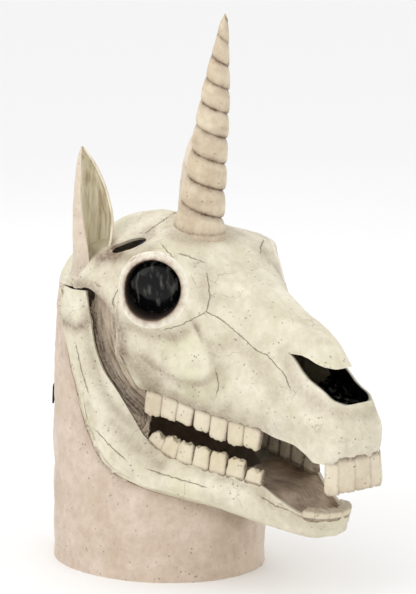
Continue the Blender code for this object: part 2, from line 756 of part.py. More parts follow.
def front_teeth(jaw_name, arc_at, height, lean, crown_up, paint, parts):
    """The incisors round the front of a jaw, numbered from the mask's right."""
    made = []
    for k in range(INCISORS):
        first, second = arc_at(-1 + 2 * k / INCISORS), arc_at(-1 + 2 * (k + 1) / INCISORS)
        base = (first + second) / 2
        first.z = second.z = base.z
        outward = Vector((second - first)).cross(Vector((0.0, 0.0, 1.0))).normalized()
        if outward.y > 0:
            outward = -outward
        crown = Vector((0.0, 0.0, crown_up)) + outward * lean
        base = base - outward * (INCISOR_DEPTH / 2 - WALL / 2) - crown * 0.8 * WALL
        width = (second - first).length - TOOTH_SPACING
        made.append(tooth(f"{jaw_name}_incisor_{k + 1}", base, (second - first, crown, -outward),
                          (width, height + 0.8 * WALL, INCISOR_DEPTH), (1.0, INCISOR_BACK), paint, parts))
    return made


def upper_incisor_arc(place):
    """The upper gum line round the muzzle, from -1 on the right through 0 at the front to 1."""
    angle = place * math.pi / 2
    along = FACE_REACH * (0.908 + 0.088 * math.cos(angle))
    out = 0.335 * SKULL_HALF_WIDTH * math.sin(angle)
    return Vector((out, -along, skull_edge(skull_share(along)).z))


def lower_incisor_arc(place):
    angle = place * math.pi / 2
    along = JAW_REACH * (0.905 + 0.095 * math.cos(angle))
    out = 0.295 * HEM_HALF_WIDTH * math.sin(angle)
    return Vector((out, -along, jaw_gum_at(along - 0.0001).z))


def make_strap(name, height, paint, parts):
    """A flat band across the nape that lies on the sleeve."""
    rings = []
    for k in range(13):
        turn = math.pi + STRAP_HALF_SPAN * (k / 6 - 1)
        ring = []
        for edge in (-0.5, 0.5):
            up = height + edge * STRAP_WIDTH
            shrink = (up / NECK_HEIGHT) ** 4
            top_out = column_at(SKULL_SECTIONS, 6, -0.40) * SKULL_HALF_WIDTH
            half_width = HEM_HALF_WIDTH + (top_out - HEM_HALF_WIDTH) * shrink
            half_depth = HEM_HALF_DEPTH + (NAPE_REACH - HEM_HALF_DEPTH) * shrink
            clear = THIN_WALL + GAP
            out = (half_width + clear) * math.sin(turn)
            along = (half_depth + clear) * math.cos(turn)
            ring.append(Vector((out, -along, up)))
        rings.append(ring)
    bm = loft(rings)
    bmesh.ops.recalc_face_normals(bm, faces=bm.faces)
    strap = add_object(name, bm, paint, parts)
    point_outwards(strap, Vector((0.0, 0.0, height)))
    mirror_and_thicken(strap, THIN_WALL, mirrored=False)
    return strap


def centre_on_floor(pieces):
    """Move the whole mask along Y so that the middle of its outline on the floor is the origin."""
    reach = [vert.co.y for piece in pieces for vert in piece.data.vertices]
    shift = Matrix.Translation((0.0, -(min(reach) + max(reach)) / 2, 0.0))
    for piece in pieces:
        piece.data.transform(shift)


def main():
    for old in list(bpy.data.objects):
        bpy.data.objects.remove(old)
    parts = bpy.data.collections.new("skull_mask")
    tools = bpy.data.collections.new("cutters")
    bpy.context.scene.collection.children.link(parts)
    bpy.context.scene.collection.children.link(tools)
    bone = material("Painted bone latex", (0.72, 0.68, 0.56), 0.5)
    flesh = material("Bare neck latex", (0.66, 0.58, 0.50), 0.55)
    recess = material("Brown washed latex", (0.25, 0.19, 0.13), 0.6)
    enamel = material("Cream tooth latex", (0.75, 0.70, 0.55), 0.4)
    black = material("Gloss black", (0.01, 0.01, 0.012), 0.15)
    gauze = material("Black gauze", (0.02, 0.02, 0.025), 0.8)

    skull = make_skull(bone, parts, tools)
    skull_tree = BVHTree.FromObject(skull, bpy.context.evaluated_depsgraph_get())
    jaw = make_jaw(bone, parts)
    make_room(jaw, skull, tools)
    neck = make_neck(flesh, parts)
    make_room(neck, skull, tools)
    make_room(neck, jaw, tools)

    fitted = []
    for side in (-1, 1):
        web = make_web(side, recess, parts)
        make_room(web, neck, tools)
        fitted.append(web)
        fitted.append(make_ear(side, flesh, parts))
        socket = make_socket(side, skull_tree, recess, parts)
        fitted.append(socket)
        lens = make_lens(side, black, parts)
        make_room(lens, socket, tools)
        fitted.append(make_gauze(side, skull_tree, gauze, parts))
    fitted.append(make_horn(flesh, parts))
    fitted.append(make_nose_lining(black, parts))
    for piece in fitted:
        make_room(piece, skull, tools)

    def upper_line(share):
        return skull_edge(share)

    def lower_line(place):
        return jaw_rib(place)[2]

    upper = cheek_teeth("upper", upper_line, (0.640, 0.190), UPPER_TOOTH_HEIGHTS, -1, 0.93, enamel, parts)
    incisors = front_teeth("upper", upper_incisor_arc, INCISOR_HEIGHT, 0.12, -1, enamel, parts)
    upper += incisors
    for piece in upper:
        make_room(piece, skull, tools)
    lower = cheek_teeth("lower", lower_line, (3.85, 8.05), LOWER_TOOTH_HEIGHTS, 1, 0.84, enamel, parts)
    incisors = front_teeth("lower", lower_incisor_arc, LOWER_INCISOR_HEIGHT, 0.45, 1, enamel, parts)
    lower += incisors
    for piece in lower:
        make_room(piece, jaw, tools)

    palate = make_palate(recess, parts)
    make_room(palate, skull, tools)
    floor = make_mouth_floor(recess, parts)
    make_room(floor, jaw, tools)
    for side in (0, 1):
        web = fitted[4 * side]
        make_room(web, jaw, tools)
        for piece in upper + lower:
            if "_7" in piece.name or "_6" in piece.name:
                make_room(web, piece, tools)
    for name, height in (("back_strap_upper", STRAP_UPPER), ("back_strap_lower", STRAP_LOWER)):
        strap = make_strap(name, height, gauze, parts)
        make_room(strap, neck, tools)

    for obj in list(tools.objects):
        bpy.data.objects.remove(obj)
    centre_on_floor(parts.objects)
    for obj in parts.objects:
        obj.data.shade_smooth()
        obj.data.set_sharp_from_angle(angle=math.radians(40))


main()
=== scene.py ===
"""Looks of a latex horse-skull mask with a spiral horn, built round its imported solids."""
import math
from bisect import bisect_right
from functools import lru_cache

import bmesh
import bpy
import numpy as np
from mathutils import Matrix, Vector, noise
from mathutils.bvhtree import BVHTree


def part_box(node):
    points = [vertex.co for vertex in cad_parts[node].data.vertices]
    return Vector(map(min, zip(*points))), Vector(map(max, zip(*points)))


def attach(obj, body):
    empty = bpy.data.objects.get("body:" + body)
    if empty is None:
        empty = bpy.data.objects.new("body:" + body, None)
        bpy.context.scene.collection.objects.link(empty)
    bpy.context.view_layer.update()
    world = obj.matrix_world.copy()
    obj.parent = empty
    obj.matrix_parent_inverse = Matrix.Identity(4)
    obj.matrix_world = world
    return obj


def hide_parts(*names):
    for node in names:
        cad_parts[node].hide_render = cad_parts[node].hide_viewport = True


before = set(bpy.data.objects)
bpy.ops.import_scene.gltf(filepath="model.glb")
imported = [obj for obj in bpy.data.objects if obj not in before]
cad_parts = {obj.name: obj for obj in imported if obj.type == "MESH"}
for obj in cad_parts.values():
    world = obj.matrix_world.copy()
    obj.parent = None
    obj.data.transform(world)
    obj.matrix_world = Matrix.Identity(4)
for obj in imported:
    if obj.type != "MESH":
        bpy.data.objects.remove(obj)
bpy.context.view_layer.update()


# Camera, light and floor.  The photograph looks at the mask from its front right and a little above,
# through a long lens.  Soft boxes stand to the left, to the right, behind and overhead, round a white
# paper sweep that gives most of the light.

PICTURE_WIDTH = 416
PICTURE_HEIGHT = 594
FOCAL_PIXELS = 3000
CAMERA_AZIMUTH = math.radians(-45)
CAMERA_HEIGHT_ANGLE = math.radians(10)
CAMERA_DISTANCE = 3.0
AIM_HEIGHT = 0.266
AIM_RIGHT = 0.0495
SENSOR = 36.0

neck_low, neck_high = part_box("neck_sleeve")
NECK_AXIS_Y = (neck_low[1] + neck_high[1]) / 2

view_out = Vector((math.sin(CAMERA_AZIMUTH) * math.cos(CAMERA_HEIGHT_ANGLE),
                   -math.cos(CAMERA_AZIMUTH) * math.cos(CAMERA_HEIGHT_ANGLE),
                   math.sin(CAMERA_HEIGHT_ANGLE)))
view_right = Vector((math.cos(CAMERA_AZIMUTH), math.sin(CAMERA_AZIMUTH), 0.0))
view_up = view_out.cross(view_right)
aim = Vector((0.0, 0.0, AIM_HEIGHT)) + view_right * AIM_RIGHT

camera_data = bpy.data.cameras.new("camera")
camera_data.sensor_width = SENSOR
camera_data.lens = SENSOR / PICTURE_HEIGHT * FOCAL_PIXELS
camera_data.clip_end = 50.0
camera = bpy.data.objects.new("camera", camera_data)
camera.location = aim + view_out * CAMERA_DISTANCE + Vector((0.0, NECK_AXIS_Y, 0.0))
camera.rotation_euler = view_out.to_track_quat("Z", "Y").to_euler()
bpy.context.scene.collection.objects.link(camera)
bpy.context.scene.camera = camera


def picture_places(points):
    """Where points near the neck's axis fall in the photograph, in its pixels from the top left."""
    eye = np.array(aim + view_out * CAMERA_DISTANCE)
    rays = points - eye
    depth = -(rays @ np.array(view_out))
    across = PICTURE_WIDTH / 2 + FOCAL_PIXELS * (rays @ np.array(view_right)) / depth
    down = PICTURE_HEIGHT / 2 - FOCAL_PIXELS * (rays @ np.array(view_up)) / depth
    return across, down


LIGHT_AIM_HEIGHT = 0.3


def add_light(name, azimuth, height_angle, distance, size, power):
    """A square soft box that points at the mask."""
    heading = math.radians(azimuth)
    rise = math.radians(height_angle)
    out = Vector((math.sin(heading) * math.cos(rise), -math.cos(heading) * math.cos(rise), math.sin(rise)))
    light = bpy.data.lights.new(name, "AREA")
    light.shape = "SQUARE"
    light.size = size
    light.energy = power
    lamp = bpy.data.objects.new(name, light)
    lamp.location = out * distance + Vector((0.0, 0.0, LIGHT_AIM_HEIGHT))
    lamp.rotation_euler = out.to_track_quat("Z", "Y").to_euler()
    bpy.context.scene.collection.objects.link(lamp)


# azimuth and height in degrees, distance and size in metres, power in watts
add_light("soft_box_left", -95, 35, 2.2, 1.4, 12)
add_light("soft_box_right", 15, 30, 2.4, 1.2, 2.5)
add_light("soft_box_top", -45, 80, 2.2, 1.6, 5)
add_light("soft_box_back", 150, 35, 2.4, 1.4, 3)

world = bpy.data.worlds.new("studio")
world.use_nodes = True
background = world.node_tree.nodes["Background"]
background.inputs["Color"].default_value = (1.0, 1.0, 1.0, 1.0)
background.inputs["Strength"].default_value = 1.0
bpy.context.scene.world = world
bpy.context.scene.view_settings.view_transform = "Standard"


def srgb(code):
    """A linear colour from an sRGB hex code."""
    result = []
    for k in (1, 3, 5):
        part = int(code[k:k + 2], 16) / 255
        result.append(part / 12.92 if part <= 0.04045 else ((part + 0.055) / 1.055) ** 2.4)
    return (*result, 1.0)


def new_material(name):
    """An empty material and its shader, ready for a pattern."""
    made = bpy.data.materials.new(name)
    made.use_nodes = True
    return made, made.node_tree.nodes["Principled BSDF"]


def add(made, kind, settings=None, **links):
    """Add a node; settings are its own values, and links are its inputs, as join takes them."""
    node = made.node_tree.nodes.new(kind)
    for key, value in (settings or {}).items():
        setattr(node, key, value)
    join(made, node, **links)
    return node


def join(made, node, **links):
    """Give a node's inputs, called Base_Color by name or _6 by place, a number, a colour or an output."""
    for key, value in links.items():
        socket = node.inputs[int(key[1:]) if key[0] == "_" else key.replace("_", " ")]
        if isinstance(value, bpy.types.NodeSocket):
            made.node_tree.links.new(value, socket)
        else:
            socket.default_value = value


floor_paint, floor_shader = new_material("White paper sweep")
join(floor_paint, floor_shader, Base_Color=srgb("#f4f4f4"), Roughness=0.9)
floor_mesh = bpy.data.meshes.new("floor")
floor_bm = bmesh.new()
bmesh.ops.create_circle(floor_bm, cap_ends=True, segments=64, radius=8.0)
floor_bm.to_mesh(floor_mesh)
floor_bm.free()
floor_mesh.materials.append(floor_paint)
floor = bpy.data.objects.new("floor", floor_mesh)
bpy.context.scene.collection.objects.link(floor)


# Skull.  One latex casting from a carved original, about 3 mm thick, painted ivory; a thin brown wash
# was brushed on and wiped off, so it stays in the sutures, pits and hollows, and painted shade is laid
# with it in the hollows, under the ledges and round the openings.

WALL = 0.003
FACE_REACH = 0.286
NAPE_REACH = 0.097
SKULL_HALF_WIDTH = 0.100
GUM_LEVEL = 0.150
FACE_DEPTH = 0.200

# Half cross-sections as shares: along of FACE_REACH, or of NAPE_REACH where negative; out of
# SKULL_HALF_WIDTH; up above GUM_LEVEL of FACE_DEPTH.
# Each row: along, crown up, brow out, brow up, cheek out, cheek up, edge out, edge up
SKULL_SECTIONS = [
    (-1.00, 0.690, 0.00, 0.685, 0.00, 0.680, 0.00, 0.670),
    (-0.985, 0.710, 0.10, 0.700, 0.16, 0.690, 0.20, 0.670),
    (-0.92, 0.765, 0.26, 0.735, 0.37, 0.705, 0.41, 0.670),
    (-0.78, 0.850, 0.43, 0.775, 0.57, 0.725, 0.64, 0.670),
    (-0.60, 0.925, 0.54, 0.825, 0.72, 0.750, 0.79, 0.670),
    (-0.40, 0.975, 0.60, 0.855, 0.80, 0.765, 0.88, 0.670),
    (-0.27, 0.995, 0.62, 0.865, 0.84, 0.770, 0.90, 0.670),
    (-0.20, 1.000, 0.63, 0.865, 0.90, 0.735, 0.95, 0.670),
    (0.00, 1.015, 0.62, 0.880, 0.87, 0.800, 0.965, 0.685),
    (0.07, 1.010, 0.65, 0.880, 0.86, 0.780, 0.97, 0.650),
    (0.125, 0.995, 0.74, 0.865, 0.91, 0.740, 0.965, 0.580),
    (0.15, 0.985, 0.80, 0.850, 0.965, 0.600, 0.94, 0.400),
    (0.165, 0.980, 0.82, 0.850, 0.970, 0.440, 0.74, 0.210),
    (0.217, 0.955, 0.88, 0.845, 0.970, 0.410, 0.67, 0.190),
    (0.294, 0.905, 0.82, 0.830, 0.890, 0.380, 0.625, 0.170),
    (0.364, 0.850, 0.63, 0.770, 0.790, 0.340, 0.585, 0.140),
    (0.437, 0.790, 0.49, 0.705, 0.700, 0.315, 0.54, 0.120),
    (0.524, 0.720, 0.35, 0.655, 0.600, 0.290, 0.48, 0.097),
    (0.622, 0.640, 0.26, 0.600, 0.510, 0.265, 0.425, 0.078),
    (0.700, 0.585, 0.22, 0.555, 0.450, 0.235, 0.38, 0.045),
    (0.762, 0.545, 0.19, 0.520, 0.410, 0.210, 0.36, 0.030),
    (0.818, 0.495, 0.17, 0.465, 0.390, 0.180, 0.35, -0.005),
    (0.860, 0.445, 0.15, 0.405, 0.380, 0.150, 0.345, -0.040),
    (0.916, 0.330, 0.22, 0.290, 0.350, 0.110, 0.33, -0.040),
    (0.960, 0.240, 0.17, 0.220, 0.270, 0.100, 0.26, -0.018),
    (0.987, 0.140, 0.09, 0.130, 0.140, 0.070, 0.14, -0.005),
    (1.00, 0.060, 0.00, 0.045, 0.00, 0.020, 0.00, -0.003),
]

SKULL_ROWS = 200
SKULL_COLUMNS = 100

# Ledges, each with its height in mm, how far it fades on its high and low sides, and its line as seen in
# the photograph, in its pixels: there, and on this mask, a pixel is about a millimetre.
SKULL_LEDGES = [
    (1.6, 8, 2, [(72, 282), (80, 285), (89, 287), (100, 298), (110, 312), (118, 323), (122, 336),
                 (120, 352)]),
    (3.4, 30, 3, [(121, 351), (132, 348), (144, 353), (158, 364), (170, 373), (187, 380), (203, 379),
                  (212, 372), (211, 360), (204, 346)]),
    (1.5, 6, 3, [(140, 361), (153, 370), (167, 377), (185, 385), (202, 390), (213, 384)]),
    (2.4, 22, 3, [(108, 255), (122, 240), (134, 232), (147, 229), (158, 223), (168, 217)]),
    (1.2, 12, 4, [(236, 331), (244, 338), (257, 350), (267, 355), (275, 364), (284, 373), (290, 388)]),
    (0.8, 10, 4, [(167, 329), (179, 326), (195, 318), (206, 312), (210, 298), (209, 286), (207, 275)]),
]

# Rounded ridges, or grooves where the height is below zero: height, radius, line
SKULL_RIDGES = [
    (1.6, 5, [(74, 279), (84, 273), (96, 262), (108, 256)]),
    (1.8, 7, [(126, 272), (136, 262), (150, 255), (166, 256), (180, 264), (189, 278)]),
    (1.0, 6, [(124, 306), (136, 320), (152, 327), (170, 325), (184, 316), (191, 304)]),
    (-1.0, 5, [(128, 325), (150, 337), (175, 338), (196, 330)]),
    (1.3, 5, [(125, 321), (121, 336), (121, 350)]),
    (-1.8, 12, [(235, 300), (250, 330), (262, 345)]),
    (-1.5, 9, [(222, 350), (226, 370), (222, 388)]),
    (1.4, 8, [(288, 400), (300, 418), (318, 428), (340, 432), (362, 430)]),
    (-1.2, 8, [(262, 420), (285, 424), (303, 436), (316, 452)]),
    (1.5, 6, [(151, 383), (151, 378)]),
    (1.5, 6, [(168, 391), (169, 385)]),
    (1.5, 6, [(185, 397), (187, 391)]),
    (1.5, 6, [(200, 404), (203, 397)]),
    (1.5, 6, [(217, 410), (220, 402)]),
    (1.5, 6, [(235, 417), (238, 409)]),
    (1.5, 6, [(254, 423), (257, 415)]),
    (1.2, 5, [(338, 452), (338, 440)]),
    (1.2, 5, [(354, 448), (354, 436)]),
    (1.2, 5, [(369, 446), (369, 434)]),
    (-1.0, 3, [(346, 458), (346, 440)]),
    (-1.0, 3, [(362, 455), (362, 438)]),
    (-1.0, 3, [(375, 452), (375, 436)]),
]

SUTURES = [
    [(207, 275), (209, 286), (210, 298), (206, 312), (195, 318), (179, 326), (167, 329)],
    [(206, 312), (221, 319), (236, 332), (244, 339), (257, 351), (267, 355), (275, 364), (284, 373),
     (290, 389)],
    [(163, 246), (167, 251), (172, 256)],
    [(179, 254), (190, 257), (203, 262)],
    [(129, 316), (139, 322), (152, 327)],
    [(167, 218), (152, 228), (146, 233)],
    [(216, 372), (219, 384), (217, 392)],
    [(252, 240), (262, 258), (268, 268)],
    [(120, 286), (112, 300), (114, 308)],
]

# Brown wash and painted shade, under the ledges, in the grooves and round the openings: strength, radius,
# line
SKULL_WASH_AND_SHADE = [
    (0.75, 7, [(78, 284), (90, 288), (102, 301), (112, 316), (121, 332), (121, 350)]),
    (0.55, 9, [(123, 358), (135, 366), (147, 376), (152, 386)]),
    (0.45, 5, [(144, 357), (158, 368), (170, 377), (187, 384), (203, 384), (214, 376)]),
    (0.30, 5, [(208, 344), (213, 358), (216, 368)]),
    (0.55, 6, [(112, 254), (124, 248), (140, 240), (150, 232)]),
    (0.50, 6, [(97, 262), (104, 257), (112, 252)]),
    (0.35, 7, [(172, 233), (186, 240), (204, 241), (218, 236)]),
    (0.35, 8, [(286, 356), (290, 372), (300, 390), (315, 404), (338, 413), (366, 416)]),
    (0.35, 5, [(142, 389), (160, 395), (178, 400), (195, 408), (210, 414), (228, 421), (246, 428),
               (266, 434)]),
    (0.40, 5, [(330, 466), (346, 463), (362, 461), (376, 459), (388, 456)]),
    (0.30, 8, [(230, 232), (245, 240), (252, 246)]),
    (0.50, 6, [(114, 246), (122, 257), (136, 259), (150, 250)]),
    (0.45, 5, [(82, 246), (92, 252), (104, 258), (114, 258)]),
    (0.30, 9, [(200, 262), (206, 280), (208, 300)]),
    (0.25, 10, [(230, 340), (246, 352), (262, 372), (276, 392)]),
    (0.30, 8, [(128, 322), (148, 334), (172, 336), (194, 326)]),
    (0.22, 10, [(165, 400), (200, 412), (240, 424), (280, 434)]),
]


@lru_cache(maxsize=None)
def slopes_of(xs, ys):
    """Slopes that keep a cubic through the points from overshooting them."""
    steps = [(ys[i + 1] - ys[i]) / (xs[i + 1] - xs[i]) for i in range(len(xs) - 1)]
    slopes = [steps[0]]
    for before, after in zip(steps, steps[1:]):
        same_way = before * after > 0
        slopes.append(2 * before * after / (before + after) if same_way else 0.0)
    slopes.append(steps[-1])
    return slopes


def column_at(table, column, at):
    """A column's value at a place given in the table's first column, on a smooth curve through its rows."""
    xs = tuple(row[0] for row in table)
    ys = tuple(row[column] for row in table)
    slopes = slopes_of(xs, ys)
    at = min(max(at, xs[0]), xs[-1])
    i = min(bisect_right(xs, at), len(xs) - 1) - 1
    width = xs[i + 1] - xs[i]
    t = (at - xs[i]) / width
    return ((1 + 2 * t) * (1 - t) ** 2 * ys[i] + t * (1 - t) ** 2 * width * slopes[i]
            + t * t * (3 - 2 * t) * ys[i + 1] - t * t * (1 - t) * width * slopes[i + 1])


def curve_at(points, place):
    """A point on a Catmull-Rom curve through some vectors, at a place counted in its spans."""
    ends = [2 * points[0] - points[1]] + list(points) + [2 * points[-1] - points[-2]]
    i = min(int(place), len(points) - 2)
    t = place - i
    a, b, c, d = ends[i:i + 4]
    square, cube = 2 * a - 5 * b + 4 * c - d, 3 * b - a - 3 * c + d
    return 0.5 * (2 * b + (c - a) * t + square * t * t + cube * t ** 3)


def skull_along(share):
    """Metres forward of the neck's axis."""
    return share * (FACE_REACH if share >= 0 else NAPE_REACH)


def skull_share(along):
    return along / (FACE_REACH if along >= 0 else NAPE_REACH)


def skull_point(share, out_column, up_column):
    out = column_at(SKULL_SECTIONS, out_column, share) * SKULL_HALF_WIDTH if out_column else 0.0
    up = GUM_LEVEL + column_at(SKULL_SECTIONS, up_column, share) * FACE_DEPTH
    return Vector((out, -skull_along(share), up))


def skull_edge(share):
    """The skull's lower edge, which is the upper gum line in front."""
    return skull_point(share, 6, 7)


def skull_section(share):
    """The four points that a half cross-section runs through, and the crown's mirrored neighbour."""
    crown = skull_point(share, None, 1)
    brow = skull_point(share, 2, 3)
    cheek = skull_point(share, 4, 5)
    edge = skull_point(share, 6, 7)
    return [Vector((-brow.x, brow.y, brow.z)), crown, brow, cheek, edge]


def on_right(points):
    """The mask's right side is at negative X."""
    return [Vector((-point.x, point.y, point.z)) for point in points]


def shaped_grid(columns, rows, place_of):
    """A grid of faces whose vertices are put where place_of says, from two shares of 0 to 1."""
    bm = bmesh.new()
    bmesh.ops.create_grid(bm, x_segments=columns, y_segments=rows, size=0.5)
    for vert in bm.verts:
        vert.co = place_of(vert.co.x + 0.5, vert.co.y + 0.5)
    bmesh.ops.remove_doubles(bm, verts=bm.verts, dist=0.00001)
    bmesh.ops.dissolve_degenerate(bm, edges=bm.edges, dist=0.00001)
    return bm


def grid_of_rows(columns, rows, row_points, last_place):
    """A grid that follows a curve through each row's own points; row_points(share) gives them."""
    found = {}

    def place_of(across, along):
        key = round(along * rows)
        if key not in found:
            found[key] = row_points(key / rows)
        return curve_at(found[key], last_place[0] + (last_place[1] - last_place[0]) * across)

    return shaped_grid(columns, rows, place_of)


def point_outwards(bm, centre):
    """Turn an open sheet's faces away from a point that it goes round."""
    bmesh.ops.recalc_face_normals(bm, faces=bm.faces)
    facing = 0.0
    for face in bm.faces:
        facing += (face.calc_center_median() - centre).dot(face.normal) * face.calc_area()
    if facing < 0:
        bmesh.ops.reverse_faces(bm, faces=bm.faces)
    bm.normal_update()


# In the picture's pixels: farther than any line, and how far a suture's mark reaches on each side
NO_LINE = 1e9
SUTURE_REACH = 5.0


def line_distance(x, y, line):
    """Distance in the picture from each place to a line, and the side of it that the place is on."""
    best = np.full(x.shape, NO_LINE)
    side = np.ones(x.shape)
    for (ax, ay), (bx, by) in zip(line, line[1:]):
        dx, dy = bx - ax, by - ay
        t = np.clip(((x - ax) * dx + (y - ay) * dy) / (dx * dx + dy * dy), 0.0, 1.0)
        away = np.hypot(x - ax - t * dx, y - ay - t * dy)
        low = np.where(dx * (y - ay) - dy * (x - ax) > 0, 1.0, -1.0)
        nearer = away < best
        best = np.where(nearer, away, best)
        side = np.where(nearer, low, side)
    return best, side


# Cosines: how far past the edge of sight the carving goes on, and what it fades over
FACING_MARGIN = 0.05
FACING_FADE = 0.30


def facing_share(ways):
    """1 where the surface faces the camera, fading to 0 where it turns away."""
    return np.clip((ways @ np.array(view_out) + FACING_MARGIN) / FACING_FADE, 0.0, 1.0)


MILLIMETRE = 0.001


def relief_of(points, ways, ledges, ridges):
    """Height in metres that the carving adds on the mask's right side."""
    x, y = picture_places(points)
    height = np.zeros(x.shape)
    for rise, high, low, line in ledges:
        away, side = line_distance(x, y, line)
        fade = np.where(side > 0, low, high)
        height += rise * np.exp(-away / fade)
    for rise, radius, line in ridges:
        away, _ = line_distance(x, y, line)
        height += rise * np.exp(-(away / radius) ** 2)
    return MILLIMETRE * height * facing_share(ways)


def carve(bm, ledges, ridges, roughness):
    """Move a right-hand half's vertices along their normals by its carved relief and a faint unevenness."""
    bm.normal_update()
    points = np.array([vert.co for vert in bm.verts])
    ways = np.array([vert.normal for vert in bm.verts])
    height = relief_of(points, ways, ledges, ridges)
    # dents about 22 mm across, and half as deep about 9 mm across
    for vert, way, rise in zip(bm.verts, ways, height):
        dent = noise.noise(vert.co * 45) + 0.5 * noise.noise(vert.co * 110)
        vert.co += Vector(way) * (rise + roughness * 2 * dent)


MIDLINE = 0.0002
WELD = 0.00005


def finish_half(bm, centre, ledges, ridges, roughness=0.0004):
    """Carve a right-hand half that goes round a centre, and complete it at the midline."""
    point_outwards(bm, centre)
    carve(bm, ledges, ridges, roughness)
    for vert in bm.verts:
        if abs(vert.co.x) < MIDLINE:
            vert.co.x = 0.0
    bmesh.ops.mirror(bm, geom=bm.verts[:] + bm.edges[:] + bm.faces[:], axis="X", merge_dist=WELD)
    point_outwards(bm, centre)


def make_object(name, bm, paint):
    """An object in the mask's place from a mesh made about the neck's axis."""
    bm.transform(Matrix.Translation((0.0, NECK_AXIS_Y, 0.0)))
    mesh = bpy.data.meshes.new(name)
    bm.to_mesh(mesh)
    bm.free()
    mesh.materials.append(paint)
    mesh.shade_smooth()
    made = bpy.data.objects.new(name, mesh)
    bpy.context.scene.collection.objects.link(made)
    return made


def dress(piece, slot, *nodes):
    """Set a piece in the frame in place of the nodes that it clothes."""
    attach(piece, "root")
    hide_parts(*nodes)


def finish_wall(piece, thickness, *cutters):
    """Give a sheet a wall on its inner side, and cut solids out of it."""
    wall = piece.modifiers.new("Wall", "SOLIDIFY")
    wall.thickness = thickness
    wall.offset = -1.0
    for cutter in cutters:
        boolean = piece.modifiers.new("Cut", "BOOLEAN")
        boolean.operation = "DIFFERENCE"
        boolean.solver = "EXACT"
        boolean.object = cutter
    depsgraph = bpy.context.evaluated_depsgraph_get()
    mesh = bpy.data.meshes.new_from_object(piece.evaluated_get(depsgraph))
    piece.modifiers.clear()
    old = piece.data
    piece.data = mesh
    bpy.data.meshes.remove(old)
    mesh.name = piece.name
    mesh.shade_smooth()
    mesh.set_sharp_from_angle(angle=math.radians(50))
    for cutter in cutters:
        bpy.data.objects.remove(cutter)


def read_vectors(items, name):
    found = np.empty(len(items) * 3)
    items.foreach_get(name, found)
    return found.reshape(-1, 3)


def hollowness(mesh, passes):
    """How far in mm each vertex lies below the blurred surface."""
    places = read_vectors(mesh.vertices, "co")
    ways = read_vectors(mesh.vertices, "normal")
    ends = np.empty(len(mesh.edges) * 2, dtype=np.int64)
    mesh.edges.foreach_get("vertices", ends)
    near, far = ends[0::2], ends[1::2]
    count = len(mesh.vertices)
    shares = np.bincount(near, minlength=count) + np.bincount(far, minlength=count)
    shares = np.maximum(shares, 1)
    soft = places.copy()
    for _ in range(passes):
        blurred = np.empty_like(soft)
        for axis in range(3):
            total = np.bincount(near, weights=soft[far, axis], minlength=count)
            total += np.bincount(far, weights=soft[near, axis], minlength=count)
            blurred[:, axis] = total / shares
        soft = 0.5 * soft + 0.5 * blurred
    return 1000 * ((soft - places) * ways).sum(axis=1)


def mark(mesh, name, values):
    """Store a value for each vertex, for the paint to read."""
    attribute = mesh.attributes.new(name, "FLOAT", "POINT")
    attribute.data.foreach_set("value", np.asarray(values, dtype=np.float32))


# The most that hollowness alone adds to the wash and painted shade
MOST_HOLLOW_WASH_AND_SHADE = 0.8


def mark_paint(mesh, wash_and_shade_lines, suture_lines, hollow_gain=0.5, passes=14):
    """Store where the wash and painted shade go, in hollows and along the given lines, and where the sutures
    run, the same on both sides of the mask.
    """
    points = read_vectors(mesh.vertices, "co")
    points[:, 1] -= NECK_AXIS_Y
    ways = read_vectors(mesh.vertices, "normal")
    left = points[:, 0] > 0
    points[left, 0] *= -1
    ways[left, 0] *= -1
    x, y = picture_places(points)
    facing = facing_share(ways)
    # painted shade and wash in hollows: the deeper below the blurred surface, the darker
    wash = np.clip(hollowness(mesh, passes) * hollow_gain, 0.0, MOST_HOLLOW_WASH_AND_SHADE)
    for strength, radius, line in wash_and_shade_lines:
        away, _ = line_distance(x, y, line)
        wash += strength * facing * np.exp(-(away / radius) ** 2)
    mark(mesh, "wash", np.clip(wash, 0.0, 1.0))
    nearest = np.full(x.shape, NO_LINE)
    signed = np.full(x.shape, NO_LINE)
    for line in suture_lines:
        away, side = line_distance(x, y, line)
        closer = away < nearest
        nearest = np.where(closer, away, nearest)
        signed = np.where(closer, away * side, signed)
    mark(mesh, "suture_side", signed)
    mark(mesh, "suture_near", facing * np.exp(-(nearest / SUTURE_REACH) ** 2))


